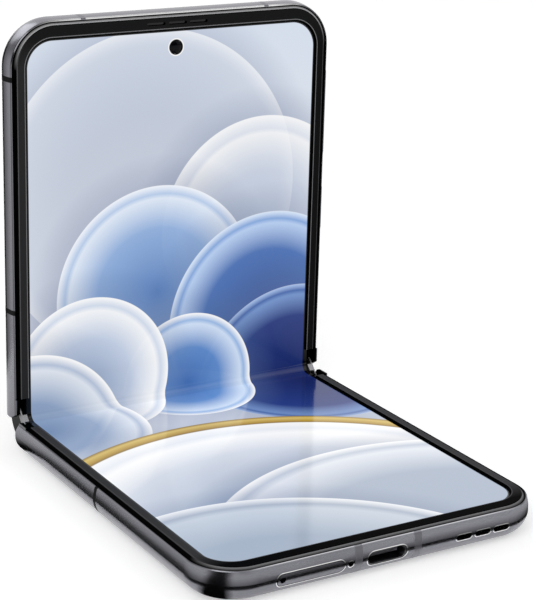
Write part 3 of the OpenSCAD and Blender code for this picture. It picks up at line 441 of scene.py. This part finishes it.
# drawn grain, and how far the gloss goes below and above each metal's own with it
drawnGrain = {"stretch": (1, 8, 8), "bump": 0.2, "depth": 0.01 * mm, "below": 0.06, "above": 0.08}
metals = [
    # bright stamped sheet with a fine drawn grain
    {"name": "stainless steel, stamped", "color": "#b9b9bd", "dark": "#98989d", "rough": 0.3, "grain": 2 * mm,
     "on": ["base_support_plate", "lid_support_plate", "base_wing_plate", "lid_wing_plate",
            "base_hinge_screws", "lid_hinge_screws", "haptic_motor"]},
    # dull near-black works that don't catch the eye in the gap of the shut phone
    {"name": "hinge works, phosphated steel", "color": "#2e2e31", "dark": "#222224", "rough": 0.45,
     "grain": 1 * mm, "on": ["base_swing_arms", "lid_swing_arms", "hinge_brackets", "base_drive_gears",
                             "base_idler_gears", "lid_idler_gears", "lid_drive_gears"]},
    # light speckled cap at each end of the fold
    {"name": "hinge cap, bead blasted metal", "color": "#b2b2b5", "dark": "#77777b", "rough": 0.42,
     "grain": 0.4 * mm, "on": ["hinge_end_caps"]},
    # soft grey glint inside the port
    {"name": "port shell, dark nickel plate", "color": "#8f8f94", "dark": "#77777b", "rough": 0.3,
     "grain": 1 * mm, "on": ["usb_port"]},
]


def plainMetal(metal):
    # fine directional grain, a slightly uneven tone and a gloss that follows the grain
    material, tree, shader, place = startMaterial(metal["name"])
    drawn = addNode(tree, "ShaderNodeMapping", {"Scale": drawnGrain["stretch"]}, {"Vector": place}, 0)
    grain = addNode(tree, "ShaderNodeTexNoise", {"Scale": 1 / metal["grain"], "Detail": 4},
                    {"Vector": drawn}, 0)
    color = addNode(tree, "ShaderNodeValToRGB", {"stops": [(0.35, metal["dark"]), (0.65, metal["color"])]},
                    {0: grain}, 0)
    gloss = addNode(tree, "ShaderNodeMapRange", {"To Min": metal["rough"] - drawnGrain["below"],
                                                 "To Max": metal["rough"] + drawnGrain["above"]},
                    {"Value": grain}, 0)
    bump = addNode(tree, "ShaderNodeBump", {"Strength": drawnGrain["bump"], "Distance": drawnGrain["depth"]},
                   {"Height": grain}, 0)
    feed(tree, shader, {"Metallic": 1}, {"Base Color": color, "Roughness": gloss, "Normal": bump})
    return material


for metal in metals:
    dress(plainMetal(metal), *metal["on"])

print("plastic finishes")

mouldTexture = {"depth": 0.02 * mm, "below": 0.05, "above": 0.08}
plastics = [
    # matt black moulding with a fine spark texture
    {"name": "black housing, glass filled nylon", "color": "#141415", "light": "#202022", "rough": 0.55,
     "grain": 0.5 * mm, "shine": 0.4, "bump": 0.3,
     "on": ["loudspeaker", "earpiece", "main_camera", "wide_camera"]},
    # slightly creased, satin black wrap
    {"name": "battery pouch, black foil", "color": "#1a1a1c", "light": "#26262a", "rough": 0.35,
     "grain": 3 * mm, "shine": 0.5, "bump": 0.3, "on": ["base_battery", "lid_battery"]},
    # deep green lacquer over the weave of the board
    {"name": "circuit board, green solder mask", "color": "#0c3b27", "light": "#125036", "rough": 0.35,
     "grain": 1 * mm, "shine": 0.5, "bump": 0.2, "on": ["sub_board", "main_board"]},
    # black barrel behind the front lens
    {"name": "camera barrel, black anodised", "color": "#060607", "light": "#0a0a0b", "rough": 0.3,
     "grain": 0.3 * mm, "shine": 0.1, "bump": 0.1, "on": ["front_camera"]},
    # glossy black cover of the hinge
    {"name": "hinge spine, black painted metal", "color": "#040405", "light": "#08080a", "rough": 0.34,
     "grain": 0.6 * mm, "shine": 0.08, "bump": 0.1, "on": ["hinge_spine"]},
]


def mouldedPlastic(plastic):
    # tiny texture in the surface, and a tone and gloss that are a little uneven with it
    material, tree, shader, place = startMaterial(plastic["name"])
    grain = addNode(tree, "ShaderNodeTexNoise", {"Scale": 1 / plastic["grain"], "Detail": 5},
                    {"Vector": place}, 0)
    color = addNode(tree, "ShaderNodeValToRGB",
                    {"stops": [(0.35, plastic["color"]), (0.7, plastic["light"])]}, {0: grain}, 0)
    gloss = addNode(tree, "ShaderNodeMapRange", {"To Min": plastic["rough"] - mouldTexture["below"],
                                                 "To Max": plastic["rough"] + mouldTexture["above"]},
                    {"Value": grain}, 0)
    bump = addNode(tree, "ShaderNodeBump", {"Strength": plastic["bump"], "Distance": mouldTexture["depth"]},
                   {"Height": grain}, 0)
    feed(tree, shader, {"Specular IOR Level": plastic["shine"]},
         {"Base Color": color, "Roughness": gloss, "Normal": bump})
    return material


for plastic in plastics:
    dress(mouldedPlastic(plastic), *plastic["on"])

# painted light on the black nylon: tones of the top at the left, right and far end, a painted reflection that
# differs by how light falls on each; of the fine lines along its edges, painted highlights (dark at the far
# end); and of the end's slope, painted light where it faces the lamps
baseBezel = {"left": "#3a3a3c", "right": "#464648", "end": "#020202", "innerHighlightLine": "#58585a",
             "line": "#4c4c4e", "endLine": "#020202", "slope": "#7c7c7e"}
lidBezel = {"left": "#2e2e2f", "right": "#161617", "end": "#1d1d1e", "innerHighlightLine": "#7c7c7e",
            "line": "#5a5a5c", "endLine": "#050505", "slope": "#b0b0b2"}
# the pairs from slotEdge on: how far past the edge of the top a paint starts, and where it is full
bezel = {"height": 0.5 * mm, "grain": 0.3 * mm, "speck": (0.85, 1.15), "gloss": (0.5, 0.65), "bump": 0.12,
         "bumpDepth": 0.01 * mm, "shine": 0.01, "black": "#010101", "slotEdge": (-0.03 * mm, -0.07 * mm),
         "innerHighlightLine": (0.22 * mm, 0.18 * mm), "innerWall": (0.04 * mm, 0.01 * mm),
         "outerPaintedLine": (-0.18 * mm, -0.14 * mm), "slope": (0, 0.04 * mm), "slopeFoot": (0.15 * mm, 0.5 * mm)}


def bezelPlastic(name, half, tones):
    # moulded black nylon with painted light: the top's tone is a painted reflection that changes from side to
    # side, a fine painted highlight runs along its edges, and the outer slope is painted light at the ends,
    # black at the sides, and fades to black at its foot
    material, tree, shader, place = startMaterial(name)
    spot = halfSpot(tree, place, half)
    grain = addNode(tree, "ShaderNodeTexNoise", {"Scale": 1 / bezel["grain"], "Detail": 4},
                    {"Vector": place}, 0)
    parts = addNode(tree, "ShaderNodeSeparateXYZ", {}, {0: spot})
    away = addNode(tree, "ShaderNodeMath", {"operation": "ABSOLUTE"}, {0: parts.outputs[1]}, 0)
    inner = bezelOpening["corner"]
    outer = bezelShoulder["corner"]
    endZone = addNode(tree, "ShaderNodeMapRange",
                      {"From Min": bezelOpening["end"] - inner, "From Max": bezelOpening["end"]},
                      {"Value": away}, 0)
    across = addNode(tree, "ShaderNodeMapRange",
                     {"From Min": -bezelOpening["side"], "From Max": bezelOpening["side"]},
                     {"Value": parts.outputs[0]}, 0)
    # painted reflection: the top is lighter or darker at the left, the right and the far end by how light
    # falls on it
    color = addNode(tree, "ShaderNodeMix", {"data_type": "RGBA", 6: tones["left"], 7: tones["right"]},
                    {0: across}, 2)
    color = addNode(tree, "ShaderNodeMix", {"data_type": "RGBA", 7: tones["end"]}, {0: endZone, 6: color}, 2)
    speck = addNode(tree, "ShaderNodeMapRange", {"To Min": bezel["speck"][0], "To Max": bezel["speck"][1]},
                    {"Value": grain}, 0)
    color = addNode(tree, "ShaderNodeVectorMath", {"operation": "SCALE"}, {0: color, "Scale": speck}, 0)
    # painted highlight along the outer edge of the top (dark at the far end), and the outer slope painted
    # light at the ends and black at the sides
    outerPaintedLine = addNode(tree, "ShaderNodeMix", {"data_type": "RGBA", 6: tones["line"], 7: tones["endLine"]},
                        {0: endZone}, 2)
    slope = addNode(tree, "ShaderNodeMix", {"data_type": "RGBA", 6: bezel["black"], 7: tones["slope"]},
                    {0: endZone}, 2)
    inside = outlineDistance(tree, spot, bezelOpening)
    outside = outlineDistance(tree, spot, bezelShoulder)
    layers = [
        # painted shade: below the top, in the earpiece slots and down the walls, all is black; then the
        # painted highlight line at the inner edge, and black down the inner wall
        (bezel["black"], parts.outputs[2], bezel["height"], bezel["slotEdge"]),
        (tones["innerHighlightLine"], inside, inner, bezel["innerHighlightLine"]),
        (bezel["black"], inside, inner, bezel["innerWall"]),
        (outerPaintedLine, outside, outer, bezel["outerPaintedLine"]),
        (slope, outside, outer, bezel["slope"]),
        (bezel["black"], outside, outer, bezel["slopeFoot"]),
    ]
    for paint, value, edge, (start, end) in layers:
        color = layOver(tree, color, paint, value, edge + start, edge + end)
    gloss = addNode(tree, "ShaderNodeMapRange", {"To Min": bezel["gloss"][0], "To Max": bezel["gloss"][1]},
                    {"Value": grain}, 0)
    bump = addNode(tree, "ShaderNodeBump", {"Strength": bezel["bump"], "Distance": bezel["bumpDepth"]},
                   {"Height": grain}, 0)
    feed(tree, shader, {"Specular IOR Level": bezel["shine"]},
         {"Base Color": color, "Roughness": gloss, "Normal": bump})
    return material


dress(bezelPlastic("bezel of the lower half, moulded black nylon", "base", baseBezel), "base_bezel")
dress(bezelPlastic("bezel of the lid, moulded black nylon", "lid", lidBezel), "lid_bezel")

antenna = {"black": "#121213", "light": "#1b1b1d", "metallic": "#88888e", "grain": 0.3 * mm,
           "gloss": (0.36, 0.5), "shine": 0.05, "tint": (1, 0.8)}  # tint: corner radii short of the end


def antennaResin(name, half):
    # filled resin flush with the metal: black at the sides, tinted to the metal at the ends
    material, tree, shader, place = startMaterial(name)
    away = addNode(tree, "ShaderNodeSeparateXYZ", {}, {0: halfSpot(tree, place, half)}, 1)
    away = addNode(tree, "ShaderNodeMath", {"operation": "ABSOLUTE"}, {0: away}, 0)
    grain = addNode(tree, "ShaderNodeTexNoise", {"Scale": 1 / antenna["grain"], "Detail": 4},
                    {"Vector": place}, 0)
    start, end = antenna["tint"]
    endZone = addNode(tree, "ShaderNodeMapRange", {"From Min": frontEdge["end"] - start * frontEdge["corner"],
                                                   "From Max": frontEdge["end"] - end * frontEdge["corner"]},
                      {"Value": away}, 0)
    color = addNode(tree, "ShaderNodeValToRGB",
                    {"stops": [(0.35, antenna["black"]), (0.7, antenna["light"])]}, {0: grain}, 0)
    color = addNode(tree, "ShaderNodeMix", {"data_type": "RGBA", 7: antenna["metallic"]},
                    {0: endZone, 6: color}, 2)
    gloss = addNode(tree, "ShaderNodeMapRange",
                    {"To Min": antenna["gloss"][0], "To Max": antenna["gloss"][1]}, {"Value": grain}, 0)
    feed(tree, shader, {"Specular IOR Level": antenna["shine"]},
         {"Metallic": endZone, "Base Color": color, "Roughness": gloss})
    return material


dress(antennaResin("antenna breaks of the lower half, filled resin", "base"), "base_antenna_bands")
dress(antennaResin("antenna breaks of the lid, filled resin", "lid"), "lid_antenna_bands")

print("glass finishes")

glasses = [
    # satin dark back that takes a broad soft reflection
    {"name": "back glass, frosted and tinted", "color": "#2b2b31", "light": "#33333a", "rough": 0.38,
     "coat": 0.2, "ior": 1.5, "on": ["base_back_glass", "lid_back_glass"]},
    # black mirror
    {"name": "cover panel, dark glass", "color": "#08080a", "light": "#0c0c0f", "rough": 0.08,
     "coat": 0.5, "ior": 1.5, "on": ["cover_display"]},
    # cream disc with a soft shine
    {"name": "flash lens, milky polycarbonate", "color": "#e6e0c2", "light": "#f2edd6", "rough": 0.3,
     "coat": 0.3, "ior": 1.5, "on": ["flash_lens"]},
]
# an almost black ball that reflects little, as coated lenses do
frontGlass = {"name": "front lens, coated glass ball", "color": "#030304", "light": "#06070b", "rough": 0.05,
              "coat": 0, "ior": 1.2}
coatGloss = 0.03
cloudSize = 25 * mm


def coatedGlass(glass):
    # glass with a coat behind it: a clear mirror over a deep, almost flat colour
    material, tree, shader, place = startMaterial(glass["name"])
    cloud = addNode(tree, "ShaderNodeTexNoise", {"Scale": 1 / cloudSize, "Detail": 2}, {"Vector": place}, 0)
    color = addNode(tree, "ShaderNodeValToRGB", {"stops": [(0.3, glass["color"]), (0.7, glass["light"])]},
                    {0: cloud}, 0)
    feed(tree, shader, {"Roughness": glass["rough"], "IOR": glass["ior"], "Coat Weight": glass["coat"],
                        "Coat Roughness": coatGloss}, {"Base Color": color})
    return material


for glass in glasses:
    dress(coatedGlass(glass), *glass["on"])

# rear lenses: places across and out from the fold, and the tones from the middle to the reach of the rings
lenses = {"across": [22.98 * mm, 5.48 * mm], "out": 69.98 * mm, "reach": 6 * mm, "gloss": 0.04, "ior": 1.35,
          "coat": 0.15,
          "tones": [(0, "#05070c"), (0.16, "#0b1222"), (0.27, "#1a2440"), (0.29, "#030304"), (0.4, "#0e0e11"),
                    (0.42, "#030304"), (0.58, "#141417"), (0.6, "#030304"), (1, "#060607")]}


def lensGlass():
    # cover glass over a stack of coated elements: dark rings round a blue-black pupil
    material, tree, shader, place = startMaterial("lens glass, coated")
    parts = addNode(tree, "ShaderNodeSeparateXYZ", {}, {0: halfSpot(tree, place, "lid")})
    flat = addNode(tree, "ShaderNodeCombineXYZ", {}, {0: parts.outputs[0], 1: parts.outputs[1]}, 0)
    rings = [addNode(tree, "ShaderNodeVectorMath", {"operation": "DISTANCE", 1: (across, lenses["out"], 0)},
                     {0: flat}, 1) for across in lenses["across"]]
    away = addNode(tree, "ShaderNodeMath", {"operation": "MINIMUM"}, dict(enumerate(rings)), 0)
    share = addNode(tree, "ShaderNodeMapRange", {"From Max": lenses["reach"]}, {"Value": away}, 0)
    color = addNode(tree, "ShaderNodeValToRGB", {"stops": lenses["tones"]}, {0: share}, 0)
    feed(tree, shader, {"Roughness": lenses["gloss"], "IOR": lenses["ior"], "Coat Weight": lenses["coat"],
                        "Coat Roughness": coatGloss}, {"Base Color": color})
    return material


dress(lensGlass(), "camera_glasses")

print("screen")

screen = {"sideBorder": 1.05 * mm, "endBorder": 2.53 * mm, "corner": 5.6 * mm, "edgeBlur": 0.05 * mm,
          "cameraHole": (1.6 * mm, 1.7 * mm), "halo": (1.92 * mm, 1.86 * mm), "brightness": 0.92,
          "film": "#050506", "gloss": 0.12, "ior": 1.36, "skyReach": 80 * mm,
          "sky": [(0, "#a9b8cb"), (0.35, "#dfe4ee"), (0.62, "#e6eaf5"), (0.85, "#dfe6f2"), (1, "#d9e2f0")],
          "shadow": "#5c6f96", "shadowDepth": 0.28, "shadowWidth": 7 * mm}
litArea = {"side": panelHalf - screen["sideBorder"], "end": panelEnd - screen["endBorder"],
           "corner": screen["corner"]}
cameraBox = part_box("front_camera")
cameraHeight = (cameraBox[0].z + cameraBox[1].z) / 2

# round sheets of a paper-cut picture, back to front, in mm: centre across and along the screen from the
# fold, radius, then the colours from the rim inwards (share of the radius, colour, cover)
sheets = [
    ((-6, 46), 36, [(0, "#eef2fa", 0), (0.004, "#f7f9fd", 0.75), (0.1, "#e3eaf6", 0.4), (0.5, "#d3deee", 0)]),
    ((22, 36), 25, [(0, "#ffffff", 0), (0.006, "#ffffff", 0.9), (0.12, "#eef2fa", 0.7),
                    (0.16, "#ffffff", 0.8), (0.5, "#dbe4f3", 0.5), (1, "#c4d3ea", 0.3)]),
    ((-4, 24), 24, [(0, "#ffffff", 0), (0.006, "#f4f8ff"), (0.08, "#b9cfee", 0.95), (0.12, "#e3edfb", 0.95),
                    (0.4, "#8fb0df", 0.95), (1, "#5a82c0")]),
    ((24, 14), 25, [(0, "#ffffff", 0), (0.006, "#dceafc"), (0.07, "#86a9de"), (0.11, "#b9d0f3"),
                    (0.35, "#4a72b6"), (1, "#2b4b92")]),
    ((31, -4), 25, [(0, "#ffffff", 0), (0.006, "#a8c2ec"), (0.06, "#4669ad"), (0.1, "#7595cd"),
                    (0.3, "#22387f"), (1, "#131f57")]),
    ((4, 2), 16, [(0, "#ffffff", 0), (0.008, "#ffffff"), (0.1, "#9dbde9", 0.95), (0.16, "#d4e4fa", 0.95),
                  (0.5, "#5f8ccc", 0.95), (1, "#3f6bb2")]),
    ((-20, 6), 19, [(0, "#ffffff", 0), (0.008, "#ffffff"), (0.1, "#d7e1f1", 0.95), (0.16, "#fbfcfe", 0.95),
                    (0.5, "#c3d0e6", 0.95), (1, "#a5b8d6")]),
    ((-34, -8), 22, [(0, "#ffffff", 0), (0.006, "#ffffff"), (0.1, "#b4c2da"), (0.16, "#dfe6f1"),
                     (0.5, "#8ea3c4"), (1, "#6f87ad")]),
    ((-7, -78), 60, [(0, "#8a6c24", 0), (0.002, "#8f7128"), (0.02, "#dcc069"), (0.05, "#b79438"),
                     (0.062, "#8a6c24"), (0.064, "#ffffff"), (0.12, "#eef1f7"), (0.16, "#ffffff"),
                     (0.3, "#d9dfea"), (0.6, "#b4c0d1")]),
    ((16, -98), 54, [(0, "#ffffff", 0), (0.003, "#ffffff"), (0.05, "#c6cfdd"), (0.09, "#e7ebf3"),
                     (0.3, "#adb9cb")]),
    ((-27, -106), 50, [(0, "#ffffff", 0), (0.003, "#f6f8fb"), (0.06, "#aeb9ca"), (0.1, "#ccd5e1"),
                       (0.35, "#a6b4c7")]),
]


def screenFinish(name, half):
    # lit panel under a polished cover film: the picture glows and the film mirrors what stands near
    material, tree, shader, place = startMaterial(name)
    if half == "fold":
        spot = addNode(tree, "ShaderNodeAttribute", {"attribute_name": "screenPlace"}).outputs["Vector"]
    else:
        spot = halfSpot(tree, place, half)
    along = addNode(tree, "ShaderNodeSeparateXYZ", {}, {0: spot}, 1)
    height = addNode(tree, "ShaderNodeMapRange",
                     {"From Min": -screen["skyReach"], "From Max": screen["skyReach"]}, {"Value": along}, 0)
    picture = addNode(tree, "ShaderNodeValToRGB", {"stops": screen["sky"]}, {0: height}, 0)
    for (x, y), radius, tones in sheets:
        away = addNode(tree, "ShaderNodeVectorMath", {"operation": "DISTANCE", 1: (x * mm, y * mm, 0)},
                       {0: spot}, 1)
        # a soft shadow round the sheet, then the sheet itself
        shade = addNode(tree, "ShaderNodeMapRange",
                        {"From Min": radius * mm, "From Max": radius * mm + screen["shadowWidth"],
                         "To Min": screen["shadowDepth"], "To Max": 0}, {"Value": away}, 0)
        picture = addNode(tree, "ShaderNodeMix", {"data_type": "RGBA", 7: screen["shadow"]},
                          {0: shade, 6: picture}, 2)
        inward = addNode(tree, "ShaderNodeMapRange", {"From Min": radius * mm, "From Max": 0},
                         {"Value": away}, 0)
        fill = addNode(tree, "ShaderNodeValToRGB", {"stops": tones}, {0: inward})
        picture = addNode(tree, "ShaderNodeMix", {"data_type": "RGBA"},
                          {0: fill.outputs[1], 6: picture, 7: fill.outputs[0]}, 2)
    # the camera's hole with a light halo round it, and the black border of the panel
    hole = addNode(tree, "ShaderNodeVectorMath",
                   {"operation": "DISTANCE", 1: (0, cameraHeight - lidStart, 0)}, {0: spot}, 1)
    picture = layOver(tree, picture, "#ffffff", hole, *screen["halo"])
    rim = outlineDistance(tree, spot, litArea)
    lit = addNode(tree, "ShaderNodeMapRange", {"From Min": screen["corner"],
                                               "From Max": screen["corner"] - screen["edgeBlur"]},
                  {"Value": rim}, 0)
    clear = addNode(tree, "ShaderNodeMapRange",
                    {"From Min": screen["cameraHole"][0], "From Max": screen["cameraHole"][1]},
                    {"Value": hole}, 0)
    both = addNode(tree, "ShaderNodeMath", {"operation": "MULTIPLY"}, {0: lit, 1: clear}, 0)
    glow = addNode(tree, "ShaderNodeMix", {"data_type": "RGBA", 6: "#000000"}, {0: both, 7: picture}, 2)
    feed(tree, shader, {"Base Color": hexColor(screen["film"]), "Roughness": screen["gloss"],
                        "IOR": screen["ior"], "Emission Strength": screen["brightness"]},
         {"Emission Color": glow})
    return material


dress(screenFinish("flexible display, lower half", "base"), "base_display")
dress(screenFinish("flexible display, lid", "lid"), "lid_display")
foldFinish = screenFinish("flexible display, bend", "fold")

print("bend of the screen")

bend = {"thickness": 0.6 * mm, "steps": 10, "columns": 36, "smooth": 40, "weld": 0.001 * mm}


def onBend(angle):
    return bendCentre + Vector((0, bendRadius * math.sin(angle), -bendRadius * math.cos(angle)))


def bendPiece(name, startAngle):
    # an edge of the panel spun through half the bend, then given its thickness
    bpy.ops.object.select_all(action="DESELECT")
    bpy.ops.mesh.primitive_plane_add(size=1)
    piece = bpy.context.object
    piece.name = name
    bpy.ops.object.mode_set(mode="EDIT")
    bpy.ops.mesh.select_all(action="SELECT")
    bpy.ops.transform.resize(value=(2 * panelHalf, 1, 1))
    bpy.ops.mesh.select_all(action="DESELECT")
    bpy.ops.object.mode_set(mode="OBJECT")
    for vertex in piece.data.vertices:
        vertex.select = vertex.co.y > 0
    bpy.ops.object.mode_set(mode="EDIT")
    bpy.ops.mesh.select_mode(type="VERT")
    bpy.ops.mesh.delete(type="VERT")
    bpy.ops.mesh.select_all(action="SELECT")
    bpy.ops.mesh.subdivide(number_cuts=bend["columns"])
    bpy.ops.transform.translate(value=onBend(startAngle) + Vector((0, 0.5, 0)))  # from the plane's edge
    bpy.ops.mesh.spin(steps=bend["steps"], angle=-halfTurn, center=bendCentre, axis=(1, 0, 0))
    bpy.ops.mesh.select_all(action="SELECT")
    bpy.ops.mesh.remove_doubles(threshold=bend["weld"])
    bpy.ops.mesh.normals_make_consistent(inside=False)
    bpy.ops.object.mode_set(mode="OBJECT")
    mesh = piece.data
    middle = mesh.polygons[len(mesh.polygons) // 2]
    if (bendCentre - middle.center).dot(middle.normal) < 0:  # the screen faces the inside of the bend
        bpy.ops.object.mode_set(mode="EDIT")
        bpy.ops.mesh.select_all(action="SELECT")
        bpy.ops.mesh.flip_normals()
        bpy.ops.object.mode_set(mode="OBJECT")
    wall = piece.modifiers.new("wall", "SOLIDIFY")
    wall.thickness = bend["thickness"]
    wall.offset = -1
    bpy.ops.object.modifier_apply(modifier=wall.name)
    bpy.ops.object.shade_smooth_by_angle(angle=math.radians(bend["smooth"]))
    # place on the flat screen, so that the picture runs on round the bend
    spots = mesh.attributes.new("screenPlace", "FLOAT_VECTOR", "POINT")
    for vertex, spot in zip(mesh.vertices, spots.data):
        across = vertex.co - bendCentre
        turn = math.atan2(across.y, -across.z)
        spot.vector = (vertex.co.x, bendRadius * (turn - halfTurn), 0)
    mesh.materials.append(foldFinish)
    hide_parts("display_fold")
    return piece


lower = bendPiece("screen_bend_lower", 0)
upper = bendPiece("screen_bend_upper", halfTurn)
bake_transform(lower)
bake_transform(upper)

print("front camera lens")

frontLens = {"radius": 1.38 * mm, "rise": 0.3 * mm, "ball": 1.9 * mm, "rings": 24, "segments": 48,
             "smooth": 30, "weld": 0.0005 * mm}


def frontLensPiece(name):
    # a glass ball cut down to its front cap, flattened and closed behind
    bpy.ops.object.select_all(action="DESELECT")
    bpy.ops.mesh.primitive_uv_sphere_add(radius=frontLens["ball"], segments=frontLens["segments"],
                                         ring_count=frontLens["rings"])
    piece = bpy.context.object
    piece.name = name
    depth = math.sqrt(frontLens["ball"] ** 2 - frontLens["radius"] ** 2)
    bpy.ops.object.mode_set(mode="EDIT")
    bpy.ops.mesh.select_all(action="SELECT")
    bpy.ops.mesh.bisect(plane_co=(0, -depth, 0), plane_no=(0, -1, 0), use_fill=True, clear_inner=True)
    bpy.ops.mesh.select_all(action="SELECT")
    bpy.ops.transform.translate(value=(0, depth, 0))
    bpy.ops.transform.resize(value=(1, frontLens["rise"] / (frontLens["ball"] - depth), 1),
                             center_override=(0, 0, 0))
    bpy.ops.transform.translate(value=Vector((0, cameraBox[0].y, cameraHeight)))
    bpy.ops.mesh.remove_doubles(threshold=frontLens["weld"])
    bpy.ops.mesh.normals_make_consistent(inside=False)
    bpy.ops.object.mode_set(mode="OBJECT")
    bpy.ops.object.shade_smooth_by_angle(angle=math.radians(frontLens["smooth"]))
    piece.data.materials.append(coatedGlass(frontGlass))
    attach(piece, "lid")


frontLensPiece("front_camera_lens")
